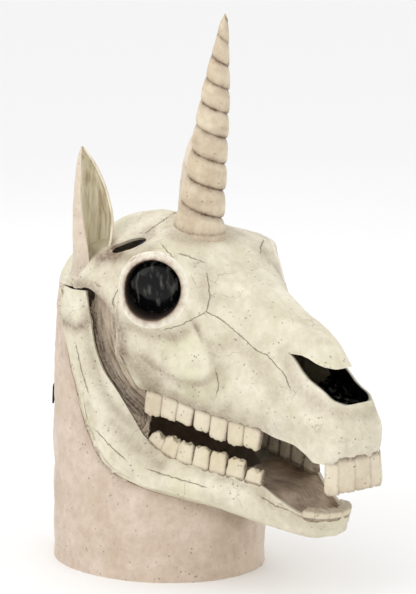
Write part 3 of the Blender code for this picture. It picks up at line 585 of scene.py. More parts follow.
def bone_material(name, light, deep, wash_and_shade_colour, tint, crack_share=1.0):
    """Acrylic paint on cast latex: sponged colour, brown wash with painted shade, cracks and pits, with a
    soft satin shine.

    A mark that a piece doesn't carry reads as 0.
    """
    made, shader = new_material(name)
    coordinates = add(made, "ShaderNodeTexCoord")
    here = coordinates.outputs["Object"]
    # clouds of 40 mm where the ivory was sponged on, and speckle of 3 mm
    clouds = add(made, "ShaderNodeTexNoise", Vector=here, Scale=24.0, Detail=4.0, Roughness=0.6)
    speckle = add(made, "ShaderNodeTexNoise", Vector=here, Scale=330.0, Detail=5.0, Roughness=0.65)
    tints = add(made, "ShaderNodeTexNoise", Vector=here, Scale=14.0, Detail=3.0, Roughness=0.5)
    # blotches of 9 mm over the clouds, as the sponge left them
    blotches = add(made, "ShaderNodeTexNoise", Vector=here, Scale=110.0, Detail=4.0, Roughness=0.7)
    sponged = add(made, "ShaderNodeMath", {"operation": "MULTIPLY_ADD"}, _0=blotches.outputs["Fac"], _1=0.7,
                  _2=clouds.outputs["Fac"])
    spread = add(made, "ShaderNodeMapRange", Value=sponged.outputs[0], From_Min=0.62, From_Max=1.06)
    base = add(made, "ShaderNodeMix", {"data_type": "RGBA"}, Factor=spread.outputs["Result"],
               _6=srgb(deep), _7=srgb(light))
    tinted = add(made, "ShaderNodeMapRange", Value=tints.outputs["Fac"], From_Min=0.50, From_Max=0.75,
                 To_Max=0.55)
    toned = add(made, "ShaderNodeMix", {"data_type": "RGBA"}, Factor=tinted.outputs["Result"],
                _6=base.outputs[2], _7=srgb(tint))
    # the stored mark: brown wash together with painted shade
    wash = add(made, "ShaderNodeAttribute", {"attribute_name": "wash"})
    # the wash, and the painted shade with it, breaks up where the cloth wiped it
    wiped = add(made, "ShaderNodeMapRange", Value=speckle.outputs["Fac"], From_Min=0.30, From_Max=0.70,
                To_Min=0.55, To_Max=1.25)
    washed = add(made, "ShaderNodeMath", {"operation": "MULTIPLY", "use_clamp": True},
                 _0=wash.outputs["Fac"], _1=wiped.outputs["Result"])
    # the wash colour, which also paints the shade in hollows and under ledges
    wash_and_shade_mix = add(made, "ShaderNodeMix", {"data_type": "RGBA"}, Factor=washed.outputs[0], _6=toned.outputs[2],
               _7=srgb(wash_and_shade_colour))
    # hairline cracks of the modelled bone, in cells of 25 mm, only in places
    bent = add(made, "ShaderNodeTexNoise", Vector=here, Scale=60.0, Detail=3.0)
    shifted = add(made, "ShaderNodeVectorMath", {"operation": "MULTIPLY_ADD"}, _0=bent.outputs["Color"],
                  _1=(0.012, 0.012, 0.012), _2=here)
    cells = add(made, "ShaderNodeTexVoronoi", {"feature": "DISTANCE_TO_EDGE"}, Vector=shifted.outputs[0],
                Scale=38.0)
    hair = add(made, "ShaderNodeMapRange", Value=cells.outputs["Distance"], From_Max=0.014, To_Min=1.0,
               To_Max=0.0)
    place = add(made, "ShaderNodeTexNoise", Vector=here, Scale=31.0, Detail=1.0)
    there = add(made, "ShaderNodeMapRange", Value=place.outputs["Fac"], From_Min=0.55, From_Max=0.68,
                To_Max=0.55 * crack_share)
    hairs = add(made, "ShaderNodeMath", {"operation": "MULTIPLY"}, _0=hair.outputs["Result"],
                _1=there.outputs["Result"])
    # sutures: a thin ragged line where the stored distance passes zero
    side = add(made, "ShaderNodeAttribute", {"attribute_name": "suture_side"})
    near = add(made, "ShaderNodeAttribute", {"attribute_name": "suture_near"})
    ragged = add(made, "ShaderNodeTexNoise", Vector=here, Scale=260.0, Detail=3.0)
    wander = add(made, "ShaderNodeMath", {"operation": "MULTIPLY_ADD"}, _0=ragged.outputs["Fac"], _1=3.2,
                 _2=-1.6)
    offset = add(made, "ShaderNodeMath", {"operation": "ADD"}, _0=side.outputs["Fac"], _1=wander.outputs[0])
    width = add(made, "ShaderNodeMath", {"operation": "ABSOLUTE"}, _0=offset.outputs[0])
    line = add(made, "ShaderNodeMapRange", Value=width.outputs[0], From_Min=0.25, From_Max=0.8, To_Min=1.0,
               To_Max=0.0)
    suture = add(made, "ShaderNodeMath", {"operation": "MULTIPLY"}, _0=line.outputs["Result"],
                 _1=near.outputs["Fac"])
    # pits of 1 mm
    spots = add(made, "ShaderNodeTexVoronoi", Vector=here, Scale=210.0, Randomness=1.0)
    pit = add(made, "ShaderNodeMapRange", Value=spots.outputs["Distance"], From_Min=0.12, From_Max=0.26,
              To_Min=1.0, To_Max=0.0)
    rare = add(made, "ShaderNodeTexNoise", Vector=here, Scale=95.0, Detail=2.0)
    chosen = add(made, "ShaderNodeMapRange", Value=rare.outputs["Fac"], From_Min=0.50, From_Max=0.62,
                 To_Max=0.75)
    pits = add(made, "ShaderNodeMath", {"operation": "MULTIPLY"}, _0=pit.outputs["Result"],
               _1=chosen.outputs["Result"])
    marks = add(made, "ShaderNodeMath", {"operation": "MAXIMUM"}, _0=hairs.outputs[0], _1=suture.outputs[0])
    marks = add(made, "ShaderNodeMath", {"operation": "MAXIMUM", "use_clamp": True}, _0=marks.outputs[0],
                _1=pits.outputs[0])
    shade = add(made, "ShaderNodeMath", {"operation": "MULTIPLY"}, _0=marks.outputs[0], _1=0.8)
    lined = add(made, "ShaderNodeMix", {"data_type": "RGBA"}, Factor=shade.outputs[0], _6=wash_and_shade_mix.outputs[2],
                _7=srgb("#6b5b49"))
    # inside the nose the wall is sprayed gloss black
    film = add(made, "ShaderNodeAttribute", {"attribute_name": "film"})
    coated = add(made, "ShaderNodeMix", {"data_type": "RGBA"}, Factor=film.outputs["Fac"],
                 _6=lined.outputs[2], _7=srgb("#0c0b0c"))
    rough = add(made, "ShaderNodeMapRange", Value=speckle.outputs["Fac"], From_Min=0.3, From_Max=0.7,
                To_Min=0.40, To_Max=0.58)
    slick = add(made, "ShaderNodeMix", {"data_type": "FLOAT"}, Factor=film.outputs["Fac"],
                A=rough.outputs["Result"], B=0.16)
    # bump: 0.3 mm grain, cracks and pits cut in
    cut_in = add(made, "ShaderNodeMath", {"operation": "MULTIPLY_ADD"}, _0=marks.outputs[0], _1=-1.4,
                 _2=speckle.outputs["Fac"])
    bump = add(made, "ShaderNodeBump", Height=cut_in.outputs[0], Strength=0.55, Distance=0.0007)
    join(made, shader, Base_Color=coated.outputs[2], Roughness=slick.outputs[0], IOR=1.47,
         Normal=bump.outputs["Normal"])
    return made


bone = bone_material("Painted bone latex", "#e2dbc7", "#c6bda4", "#84705d", "#cbc8a0")


def skull_row(share):
    """The rows crowd a little towards the nape and the nose, where the skull curves most."""
    eased = share - 0.10 * math.sin(2 * math.pi * share) / (2 * math.pi)
    along = -NAPE_REACH + (FACE_REACH + NAPE_REACH) * eased
    return on_right(skull_section(skull_share(along)))


skull_bm = grid_of_rows(SKULL_COLUMNS, SKULL_ROWS, skull_row, (1.0, 4.0))
finish_half(skull_bm, Vector((0.0, 0.0, GUM_LEVEL)), SKULL_LEDGES, SKULL_RIDGES)
skull_tree = BVHTree.FromBMesh(skull_bm)
skull = make_object("skull", skull_bm, bone)

# The openings: the two eye sockets, the slots behind the forehead, and the nose, whose outline is seen
# from the side as shares of FACE_REACH forward and of FACE_DEPTH above GUM_LEVEL.
ORBIT_RADIUS = 0.029
ORBIT_DEPTH = 0.018
ORBIT_OUT = 0.086
ORBIT_ALONG = 0.080
ORBIT_UP = 0.2935
ORBIT_TURN = math.radians(54)
TEMPLE_LENGTH = 0.030
TEMPLE_HEIGHT = 0.016
TEMPLE_OUT = 0.064
TEMPLE_ALONG = 0.022
TEMPLE_UP = 0.329
NOSE_OUTLINE = [
    (0.725, 0.455), (0.770, 0.452), (0.797, 0.440), (0.825, 0.420), (0.850, 0.405), (0.880, 0.397),
    (0.905, 0.398), (0.922, 0.408), (0.933, 0.430), (0.936, 0.47), (0.930, 0.52), (0.925, 0.60),
    (1.06, 0.60), (1.06, 0.235), (0.985, 0.228),
    (0.950, 0.240), (0.915, 0.262), (0.885, 0.285), (0.848, 0.316), (0.811, 0.350), (0.780, 0.386),
    (0.755, 0.420), (0.738, 0.442),
]


def orbit_frame(side):
    """A frame whose Z axis points out of the eye socket."""
    outward = Vector((side * math.sin(ORBIT_TURN), -math.cos(ORBIT_TURN), 0.0))
    turn = outward.to_track_quat("Z", "Y").to_matrix().to_4x4()
    return Matrix.Translation((side * ORBIT_OUT, -ORBIT_ALONG, ORBIT_UP)) @ turn


def temple_frame(side):
    """A frame whose Z axis points out of the slot and whose X axis runs along it."""
    outward = Vector((side * 0.75, 0.35, 0.56)).normalized()
    forward = Vector((-side * 0.55, -0.8, 0.2))
    across = outward.cross(forward).normalized()
    forward = across.cross(outward)
    turn = Matrix((forward, across, outward)).transposed().to_4x4()
    return Matrix.Translation((side * TEMPLE_OUT, -TEMPLE_ALONG, TEMPLE_UP)) @ turn


SIDES = ((-1, "right"), (1, "left"))

cutters = []
for side, _ in SIDES:
    hole = bmesh.new()
    bmesh.ops.create_cone(hole, cap_ends=True, segments=96, radius1=ORBIT_RADIUS, radius2=ORBIT_RADIUS,
                          depth=2.4 * ORBIT_RADIUS)
    hole.transform(orbit_frame(side))
    cutters.append(make_object("orbit_hole", hole, bone))
    slot = bmesh.new()
    bmesh.ops.create_cone(slot, cap_ends=True, segments=48, radius1=0.5, radius2=0.5, depth=1.0)
    slot_size = (1.1 * TEMPLE_LENGTH, 1.25 * TEMPLE_HEIGHT, 1.6 * TEMPLE_LENGTH)
    bmesh.ops.scale(slot, vec=slot_size, verts=slot.verts)
    slot.transform(temple_frame(side))
    cutters.append(make_object("temple_hole", slot, bone))
nose_hole = bmesh.new()
nose_verts = [nose_hole.verts.new((-SKULL_HALF_WIDTH, -along * FACE_REACH, GUM_LEVEL + up * FACE_DEPTH))
              for along, up in NOSE_OUTLINE]
nose_side = nose_hole.faces.new(nose_verts)
pushed = bmesh.ops.extrude_face_region(nose_hole, geom=[nose_side])["geom"]
pushed = [item for item in pushed if isinstance(item, bmesh.types.BMVert)]
bmesh.ops.translate(nose_hole, vec=(2 * SKULL_HALF_WIDTH, 0.0, 0.0), verts=pushed)
bmesh.ops.recalc_face_normals(nose_hole, faces=nose_hole.faces)
cutters.append(make_object("nose_hole", nose_hole, bone))
finish_wall(skull, WALL, *cutters)
mark_paint(skull.data, SKULL_WASH_AND_SHADE, SUTURES)

# The black film starts just inside the edge of the nose's opening, behind and above these shares.
NOSE_BACK = 0.69
NOSE_BOTTOM = 0.10
FILM_START = 0.0012
FILM_FADE = 0.0010
skull_places = read_vectors(skull.data.vertices, "co") - np.array((0.0, NECK_AXIS_Y, 0.0))
film_marks = []
for place in skull_places:
    here = Vector(place)
    near_nose = -here.y > NOSE_BACK * FACE_REACH and here.z > GUM_LEVEL + NOSE_BOTTOM * FACE_DEPTH
    depth_in = skull_tree.find_nearest(here)[3] if near_nose else 0.0
    film_marks.append(min(max((depth_in - FILM_START) / FILM_FADE, 0.0), 1.0))
mark(skull.data, "film", film_marks)
dress(skull, "bone", "skull_shell")


# Eye sockets.  Deep dishes in the casting, sprayed from bone at the rim through brown to black, with a
# domed disc of glossy black plastic glued in the bottom.

SOCKET_STEPS = 96


def set_stops(ramp, first, *others):
    """Give a colour ramp its stops, each a position and a colour."""
    stops = ramp.color_ramp.elements
    stops.remove(stops[1])
    stops[0].position = first[0]
    stops[0].color = srgb(first[1])
    for position, colour in others:
        stops.new(position).color = srgb(colour)


# Paint sprayed from a can over latex: finely grained, a little glossier than the brushed bone
socket_paint, socket_shader = new_material("Sprayed socket latex")
here = add(socket_paint, "ShaderNodeTexCoord").outputs["Object"]
depth_mark = add(socket_paint, "ShaderNodeAttribute", {"attribute_name": "depth"})
grain = add(socket_paint, "ShaderNodeTexNoise", Vector=here, Scale=170.0, Detail=4.0)
uneven = add(socket_paint, "ShaderNodeMath", {"operation": "MULTIPLY_ADD"}, _0=grain.outputs["Fac"], _1=0.22,
             _2=-0.11)
sprayed = add(socket_paint, "ShaderNodeMath", {"operation": "ADD"}, _0=depth_mark.outputs["Fac"],
              _1=uneven.outputs[0])
spray = add(socket_paint, "ShaderNodeValToRGB", Fac=sprayed.outputs[0])
set_stops(spray, (0.0, "#e3dccb"), (0.12, "#b5a592"), (0.26, "#6e5c4d"), (0.50, "#3a2f28"), (1.0, "#0b0a0a"))
socket_bump = add(socket_paint, "ShaderNodeBump", Height=grain.outputs["Fac"], Strength=0.4, Distance=0.0006)
join(socket_paint, socket_shader, Base_Color=spray.outputs["Color"], Roughness=0.38,
     Normal=socket_bump.outputs["Normal"])

# Moulded acrylic, polished, so it mirrors the room in waves; pale streaks in its colour are a painted
# highlight
disc_paint, disc_shader = new_material("Polished black plastic")
here = add(disc_paint, "ShaderNodeTexCoord").outputs["Object"]
smears = add(disc_paint, "ShaderNodeTexNoise", Vector=here, Scale=70.0, Detail=4.0)
gloss = add(disc_paint, "ShaderNodeMapRange", Value=smears.outputs["Fac"], From_Min=0.35, From_Max=0.7,
            To_Min=0.06, To_Max=0.30)
# painted highlight: pale streaks 8 mm long in the colour, standing for streaky reflections
streaks_along = add(disc_paint, "ShaderNodeMapping", Vector=here, Scale=(1.0, 1.0, 0.35))
streaky = add(disc_paint, "ShaderNodeTexNoise", Vector=streaks_along.outputs[0], Scale=190.0, Detail=4.0)
highlight_share = add(disc_paint, "ShaderNodeMapRange", Value=streaky.outputs["Fac"], From_Min=0.52, From_Max=0.74)
highlight_streaks = add(disc_paint, "ShaderNodeMix", {"data_type": "RGBA"}, Factor=highlight_share.outputs["Result"],
           _6=srgb("#040405"), _7=srgb("#5a5853"))
waves = add(disc_paint, "ShaderNodeTexNoise", Vector=here, Scale=38.0, Detail=1.0)
disc_bump = add(disc_paint, "ShaderNodeBump", Height=waves.outputs["Fac"], Strength=0.9, Distance=0.004)
join(disc_paint, disc_shader, Base_Color=highlight_streaks.outputs[2], Roughness=gloss.outputs["Result"], IOR=1.30,
     Normal=disc_bump.outputs["Normal"])

# Each ring: share of ORBIT_RADIUS, how far down to the bottom, lift off the skull in mm, paint depth
SOCKET_RINGS = [
    (1.30, 0.0, -0.7, 0.00), (1.22, 0.0, 0.25, 0.00), (1.12, 0.0, 1.1, 0.04), (1.04, 0.0, 1.5, 0.10),
    (0.985, 0.0, 1.0, 0.22), (0.960, 0.06, 0.0, 0.36), (0.945, 0.20, 0.0, 0.52), (0.930, 0.42, 0.0, 0.68),
    (0.910, 0.66, 0.0, 0.82), (0.885, 0.88, 0.0, 0.93), (0.84, 1.00, 0.0, 1.00), (0.70, 1.06, 0.0, 1.00),
]


def make_socket(side, side_name):
    """A rolled rim on the skull and a wall down to the disc, built ring by ring."""
    frame_here = orbit_frame(side)
    outward = frame_here.to_3x3() @ Vector((0.0, 0.0, 1.0))
    inverse = frame_here.inverted()
    depths = []

    def place_of(around, down):
        angle = 2 * math.pi * around
        k = min(int(round(down * (len(SOCKET_RINGS) - 1))), len(SOCKET_RINGS) - 1)
        radius_share, drop, lift, paint_depth = SOCKET_RINGS[k]
        radius = ORBIT_RADIUS * radius_share
        reach = max(radius, 1.02 * ORBIT_RADIUS)
        probe = frame_here @ Vector((reach * math.cos(angle), reach * math.sin(angle), 0.07))
        surface = (inverse @ skull_tree.ray_cast(probe, -outward)[0]).z
        height = surface * (1 - drop) - ORBIT_DEPTH * drop + 0.001 * lift
        depths.append(paint_depth)
        return frame_here @ Vector((radius * math.cos(angle), radius * math.sin(angle), height))

    bm = bmesh.new()
    bmesh.ops.create_grid(bm, x_segments=SOCKET_STEPS, y_segments=len(SOCKET_RINGS) - 1, size=0.5)
    layer = bm.verts.layers.float.new("depth")
    for vert in bm.verts:
        vert.co = place_of(vert.co.x + 0.5, vert.co.y + 0.5)
        vert[layer] = depths[-1]
    bmesh.ops.remove_doubles(bm, verts=bm.verts, dist=0.00001)
    bmesh.ops.recalc_face_normals(bm, faces=bm.faces)
    total = sum((face.normal.dot(outward) * face.calc_area() for face in bm.faces), 0.0)
    if total < 0:
        bmesh.ops.reverse_faces(bm, faces=bm.faces)
    socket = make_object("eye_socket_dish_" + side_name, bm, socket_paint)
    finish_wall(socket, 0.0012)
    dress(socket, "socket", "eye_socket_" + side_name)


DISC_FIT = 0.885
DISC_DOME = 0.30


def make_disc(side, side_name):
    bm = bmesh.new()
    bmesh.ops.create_uvsphere(bm, u_segments=64, v_segments=24, radius=1.0)
    radius = DISC_FIT * ORBIT_RADIUS
    bmesh.ops.scale(bm, vec=(radius, radius, DISC_DOME * radius), verts=bm.verts)
    bmesh.ops.translate(bm, vec=(0.0, 0.0, -ORBIT_DEPTH), verts=bm.verts)
    bm.transform(orbit_frame(side))
    disc = make_object("eye_disc_" + side_name, bm, disc_paint)
    dress(disc, "black_gloss", "eye_lens_" + side_name)


for side, side_name in SIDES:
    make_socket(side, side_name)
    make_disc(side, side_name)


# Temple slots.  The wearer's vents: openings under the dome's edge, backed with black gauze glued inside.

gauze_paint, gauze_shader = new_material("Black woven gauze")
here = add(gauze_paint, "ShaderNodeTexCoord").outputs["Object"]
# matt threads 0.8 mm apart, drawn coarser than real gauze so that they show
turned = add(gauze_paint, "ShaderNodeMapping", Vector=here, Rotation=(0.5, 0.4, 0.78))
weft = add(gauze_paint, "ShaderNodeTexWave", {"bands_direction": "X"}, Vector=turned.outputs[0], Scale=200.0)
warp = add(gauze_paint, "ShaderNodeTexWave", {"bands_direction": "Y"}, Vector=turned.outputs[0], Scale=200.0)
weave = add(gauze_paint, "ShaderNodeMath", {"operation": "MAXIMUM"}, _0=weft.outputs["Fac"],
            _1=warp.outputs["Fac"])
thread = add(gauze_paint, "ShaderNodeMix", {"data_type": "RGBA"}, Factor=weave.outputs[0],
             _6=srgb("#050506"), _7=srgb("#25272d"))
gauze_bump = add(gauze_paint, "ShaderNodeBump", Height=weave.outputs[0], Strength=0.6, Distance=0.0005)
join(gauze_paint, gauze_shader, Base_Color=thread.outputs[2], Roughness=0.6,
     Normal=gauze_bump.outputs["Normal"])


def make_gauze(side, side_name):
    """A sagging oval patch behind the slot."""
    frame_here = temple_frame(side)
    outward = frame_here.to_3x3() @ Vector((0.0, 0.0, 1.0))
    probe = frame_here @ Vector((0.0, 0.62 * TEMPLE_HEIGHT, TEMPLE_LENGTH))
    hit = frame_here.inverted() @ skull_tree.ray_cast(probe, -outward)[0]
    bm = bmesh.new()
    bmesh.ops.create_uvsphere(bm, u_segments=48, v_segments=16, radius=0.5)
    bmesh.ops.scale(bm, vec=(1.22 * TEMPLE_LENGTH, 1.55 * TEMPLE_HEIGHT, 0.005), verts=bm.verts)
    bmesh.ops.translate(bm, vec=(0.0, 0.0, hit.z - 3.4 * WALL), verts=bm.verts)
    bm.transform(frame_here)
    patch = make_object("temple_patch_" + side_name, bm, gauze_paint)
    dress(patch, "gauze", "temple_gauze_" + side_name)


for side, side_name in SIDES:
    make_gauze(side, side_name)


# Lower jaw.  The same casting as the skull, pulled open on a wire the maker moulded in; its flank rises
# behind the mouth to the joint under the ear, and its lower edge blends into the neck.

HEM_HALF_WIDTH = 0.100
HEM_HALF_DEPTH = 0.113
NECK_HEIGHT = 0.284
JAW_REACH = 0.251

# One row for each rib of the jaw, from the chin back along its lower edge and up to the joint, as shares:
# out of HEM_HALF_WIDTH; the seam's along of HEM_HALF_DEPTH, the others' of JAW_REACH; up of NECK_HEIGHT.
# Each row: seam out, along, up; border out, along, up; gum out, along, up; how far the side bulges
JAW_RIBS = [
    (0.00, 0.990, 0.268, 0.00, 0.948, 0.225, 0.000, 1.000, 0.306, 0.030),
    (0.14, 0.980, 0.268, 0.17, 0.928, 0.225, 0.160, 0.982, 0.306, 0.030),
    (0.28, 0.955, 0.275, 0.29, 0.857, 0.236, 0.295, 0.905, 0.310, 0.030),
    (0.41, 0.910, 0.282, 0.37, 0.757, 0.254, 0.360, 0.800, 0.349, 0.040),
    (0.53, 0.850, 0.292, 0.46, 0.645, 0.282, 0.425, 0.709, 0.396, 0.055),
    (0.64, 0.770, 0.306, 0.57, 0.526, 0.306, 0.500, 0.574, 0.408, 0.065),
    (0.75, 0.665, 0.320, 0.70, 0.410, 0.327, 0.565, 0.446, 0.420, 0.070),
    (0.86, 0.505, 0.342, 0.85, 0.287, 0.347, 0.630, 0.320, 0.440, 0.075),
    (0.94, 0.320, 0.373, 0.945, 0.165, 0.380, 0.680, 0.207, 0.496, 0.070),
    (0.975, 0.105, 0.444, 0.98, 0.066, 0.452, 0.740, 0.151, 0.574, 0.045),
    (0.97, -0.055, 0.546, 0.975, -0.006, 0.550, 0.810, 0.104, 0.651, 0.035),
    (0.955, -0.180, 0.669, 0.96, -0.058, 0.673, 0.885, 0.048, 0.732, 0.025),
    (0.945, -0.290, 0.782, 0.95, -0.108, 0.785, 0.920, 0.020, 0.810, 0.025),
    (0.93, -0.360, 0.880, 0.945, -0.140, 0.884, 0.940, 0.008, 0.894, 0.050),
    (0.895, -0.400, 0.955, 0.915, -0.160, 0.958, 0.935, -0.010, 0.965, 0.040),
    (0.885, -0.410, 0.998, 0.91, -0.165, 0.998, 0.935, -0.020, 0.998, 0.020),
]

JAW_ROWS = 190
JAW_COLUMNS = 44

JAW_LEDGES = [
    (1.8, 10, 2.5, [(128, 424), (112, 410), (102, 392), (95, 371), (89, 345), (86, 322)]),
    (-1.4, 6, 10, [(75, 350), (84, 395), (94, 430), (108, 455), (128, 472)]),
]
JAW_RIDGES = [
    (4.5, 12, [(74, 306), (76, 312)]),
    (-1.8, 4, [(64, 322), (76, 328), (87, 322)]),
    (1.6, 7, [(94, 395), (106, 420), (124, 441), (150, 458)]),
    (-1.6, 7, [(112, 424), (132, 446), (160, 462)]),
    (1.3, 5, [(147, 446), (146, 440)]),
    (1.3, 5, [(160, 455), (162, 449)]),
    (1.3, 5, [(176, 465), (178, 459)]),
    (1.3, 5, [(193, 473), (196, 467)]),
    (1.3, 5, [(212, 479), (215, 473)]),
    (1.3, 5, [(230, 485), (233, 479)]),
    (1.3, 5, [(248, 493), (251, 487)]),
    (-1.3, 8, [(262, 500), (285, 512), (304, 520)]),
]
# Brown wash and painted shade along the jaw's grooves, ledges and gum line: strength, radius, line
JAW_WASH_AND_SHADE = [
    (0.55, 6, [(63, 322), (76, 329), (88, 322), (90, 310)]),
    (0.35, 6, [(86, 330), (92, 360), (100, 388), (112, 408), (128, 422)]),
    (0.35, 6, [(148, 440), (170, 452), (190, 464), (212, 473), (235, 480), (262, 490)]),
    (0.30, 9, [(112, 426), (132, 446), (160, 464)]),
    (0.25, 8, [(262, 500), (290, 516), (320, 527)]),
]
JAW_SUTURES = [
    [(150, 470), (175, 478), (205, 487)],
    [(262, 497), (276, 506), (290, 511)],
    [(76, 345), (82, 372), (88, 392)],
    [(98, 432), (112, 448), (124, 458)],
]


NUMBERED_RIBS = [(float(k), *row) for k, row in enumerate(JAW_RIBS)]


def jaw_rib(place):
    """The seam, border, gum and swell of the jaw's rib at a place counted in rows of its table."""
    value = [column_at(NUMBERED_RIBS, column, place) for column in range(1, len(NUMBERED_RIBS[0]))]
    seam = Vector((value[0] * HEM_HALF_WIDTH, -value[1] * HEM_HALF_DEPTH, value[2] * NECK_HEIGHT))
    border = Vector((value[3] * HEM_HALF_WIDTH, -value[4] * JAW_REACH, value[5] * NECK_HEIGHT))
    gum = Vector((value[6] * HEM_HALF_WIDTH, -value[7] * JAW_REACH, value[8] * NECK_HEIGHT))
    return seam, border, gum, value[9] * HEM_HALF_WIDTH


def jaw_row(share):
    """The jaw's wall from the neck along its underside and up its side to the gum."""
    seam, border, gum, swell = jaw_rib(share * (len(JAW_RIBS) - 1))
    side_point = (border + gum) / 2
    outward = Vector((side_point.x, side_point.y * 0.35, 0.0)).normalized() + Vector((0.0, 0.0, -0.35))
    side_point += outward.normalized() * swell
    return on_right((seam, (seam + border) / 2, border, side_point, gum))


jaw_bm = grid_of_rows(JAW_COLUMNS, JAW_ROWS, jaw_row, (0.0, 4.0))
finish_half(jaw_bm, Vector((0.0, 0.0, NECK_HEIGHT)), JAW_LEDGES, JAW_RIDGES)
jaw = make_object("jaw", jaw_bm, bone)
finish_wall(jaw, WALL)
mark_paint(jaw.data, JAW_WASH_AND_SHADE, JAW_SUTURES)
dress(jaw, "bone", "lower_jaw")


# Neck.  A plain sleeve of bare latex below the jaw that falls to the wearer's collar, cut off flat; the
# casting left faint sags and drips, and the paint thins out down it.

NECK_ROWS = 70
NAPE_STEPS = 30
THROAT_STEPS = 8

NECK_LEDGES = [
    (1.5, 3, 9, [(75, 360), (90, 420), (100, 450), (115, 470), (130, 480), (170, 492), (210, 505),
                 (245, 522)]),
]
# Painted shade under the jaw's edge where it meets the sleeve, and a second, fainter darkening lower down:
# strength, radius, line
NECK_WASH_AND_SHADE = [
    (0.45, 7, [(72, 350), (88, 420), (99, 452), (115, 472), (132, 482), (170, 494), (210, 507),
               (246, 524)]),
    (0.25, 12, [(262, 530), (262, 560)]),
]

neck_paint = bone_material("Bare neck latex", "#d6c5b5", "#bba692", "#8a7564", "#c6b49a", crack_share=0.35)


def neck_top():
    """The sleeve's upper edge, from the middle of the throat round to the middle of the nape."""
    last = len(JAW_RIBS) - 1
    throat = [jaw_rib(k / THROAT_STEPS)[0] for k in range(last * THROAT_STEPS + 1)]
    start = -throat[-1].y
    nape = []
    for k in range(1, NAPE_STEPS + 1):
        bend = math.sin(math.pi / 2 * k / NAPE_STEPS)
        along = start + (-NAPE_REACH - start) * bend
        nape.append(skull_edge(skull_share(along)))
    return throat + nape


def neck_point(top, share):
    """A point of the sleeve at a share of the way from the hem to a point of its upper edge."""
    angle = math.atan2(top.x / HEM_HALF_WIDTH, -top.y / HEM_HALF_DEPTH)
    hem = Vector((HEM_HALF_WIDTH * math.sin(angle), -HEM_HALF_DEPTH * math.cos(angle), 0.0))
    place = hem.lerp(top, share ** 4)
    place.z = top.z * share
    return place


neck_tops = neck_top()


def neck_place(around, up):
    top = neck_tops[round(around * (len(neck_tops) - 1))]
    place = neck_point(top, up)
    return Vector((-place.x, place.y, place.z))


neck_bm = shaped_grid(len(neck_tops) - 1, NECK_ROWS, neck_place)
finish_half(neck_bm, Vector((0.0, 0.0, NECK_HEIGHT / 2)), NECK_LEDGES, [], roughness=0.0006)
neck = make_object("neck", neck_bm, neck_paint)
finish_wall(neck, WALL)
mark_paint(neck.data, NECK_WASH_AND_SHADE, [], hollow_gain=0.3)
dress(neck, "neck", "neck_sleeve")


# Cheek webs.  The latex between the skull's rear edge and the jaw, sunk in and carved as torn strands of
# muscle; the wash pools in it, and its darker colours and the dark band along the jaw's edge are partly
# painted shade of the recess.

WEB_INSET = 0.009
WEB_EDGE_INSET = 0.0026
WEB_OVERLAP = 0.008
WEB_ROWS = 120
WEB_COLUMNS = 60
STRAND_HEIGHT = 0.0024

# Each row: number, share of the face that the upper end is at, rib of the jaw that the lower end is at
WEB_ENDS = [
    (0.0, 0.166, 8.1), (1.0, 0.160, 9.0), (2.0, 0.150, 10.0), (3.0, 0.138, 11.0), (4.0, 0.110, 12.0),
    (5.0, 0.060, 13.0), (6.0, 0.010, 13.6), (7.0, -0.060, 14.0),
]

# Lines in the picture's pixels: the jaw's edge, and the wash and painted shade along it
RAMUS_EDGE = [(84, 285), (88, 330), (95, 358), (104, 381), (118, 402), (134, 417)]
WEB_WASH_AND_SHADE = [
    (0.75, 8, [(86, 290), (95, 332), (104, 358), (116, 383), (132, 402), (146, 416)]),
]

# colours darker than the bone's, partly as painted shade of the sunk web
web_shade_paint = bone_material("Brown washed latex", "#cdbfa9", "#a08d77", "#4f4035", "#ad9b84", crack_share=0.3)


def web_row(share):
    place = share * WEB_ENDS[-1][0]
    upper = skull_edge(column_at(WEB_ENDS, 1, place))
    lower = jaw_rib(column_at(WEB_ENDS, 2, place))[2]
    across = (upper - lower).normalized()
    upper.x -= WEB_EDGE_INSET
    lower.x -= WEB_EDGE_INSET
    upper += across * WEB_OVERLAP
    lower -= across * WEB_OVERLAP
    middle = (upper + lower) / 2
    middle.x -= WEB_INSET
    return on_right((lower, middle, upper))


def make_web(side, side_name):
    """A sunk sheet, carved on the right-hand side and turned over for the left."""
    bm = grid_of_rows(WEB_COLUMNS, WEB_ROWS, web_row, (0.0, 2.0))
    point_outwards(bm, Vector((0.0, 0.0, NECK_HEIGHT)))
    # the strands run along the jaw's edge, as seen in the picture
    across, down = picture_places(np.array([vert.co for vert in bm.verts]))
    away, side_of = line_distance(across, down, RAMUS_EDGE)
    for vert, apart, low in zip(bm.verts, away * side_of, down):
        strand = noise.noise(Vector((apart * 0.34, low * 0.030, 3.0)))
        strand += 0.6 * noise.noise(Vector((apart * 0.95, low * 0.060, 7.0)))
        vert.co += vert.normal * STRAND_HEIGHT * strand
    if side > 0:
        bmesh.ops.scale(bm, vec=(-1.0, 1.0, 1.0), verts=bm.verts)
        bmesh.ops.reverse_faces(bm, faces=bm.faces)
    web = make_object("cheek_hollow_" + side_name, bm, web_shade_paint)
    finish_wall(web, 0.002)
    mark_paint(web.data, WEB_WASH_AND_SHADE, [], hollow_gain=0.8, passes=10)
    dress(web, "recess", "cheek_web_" + side_name)


for side, side_name in SIDES:
    make_web(side, side_name)


# Horn.  Cast separately over a foam core and glued to the brow: a left-handed spiral of bulging ribs with
# brown wash in the grooves between them.

HORN_LENGTH = 0.235
HORN_RADIUS = 0.0255
HORN_LEAN = math.radians(9.5)
HORN_TURNS = 9.5
HORN_GROOVE = 0.19
HORN_SEAT = 0.192
HORN_SINK = 0.021

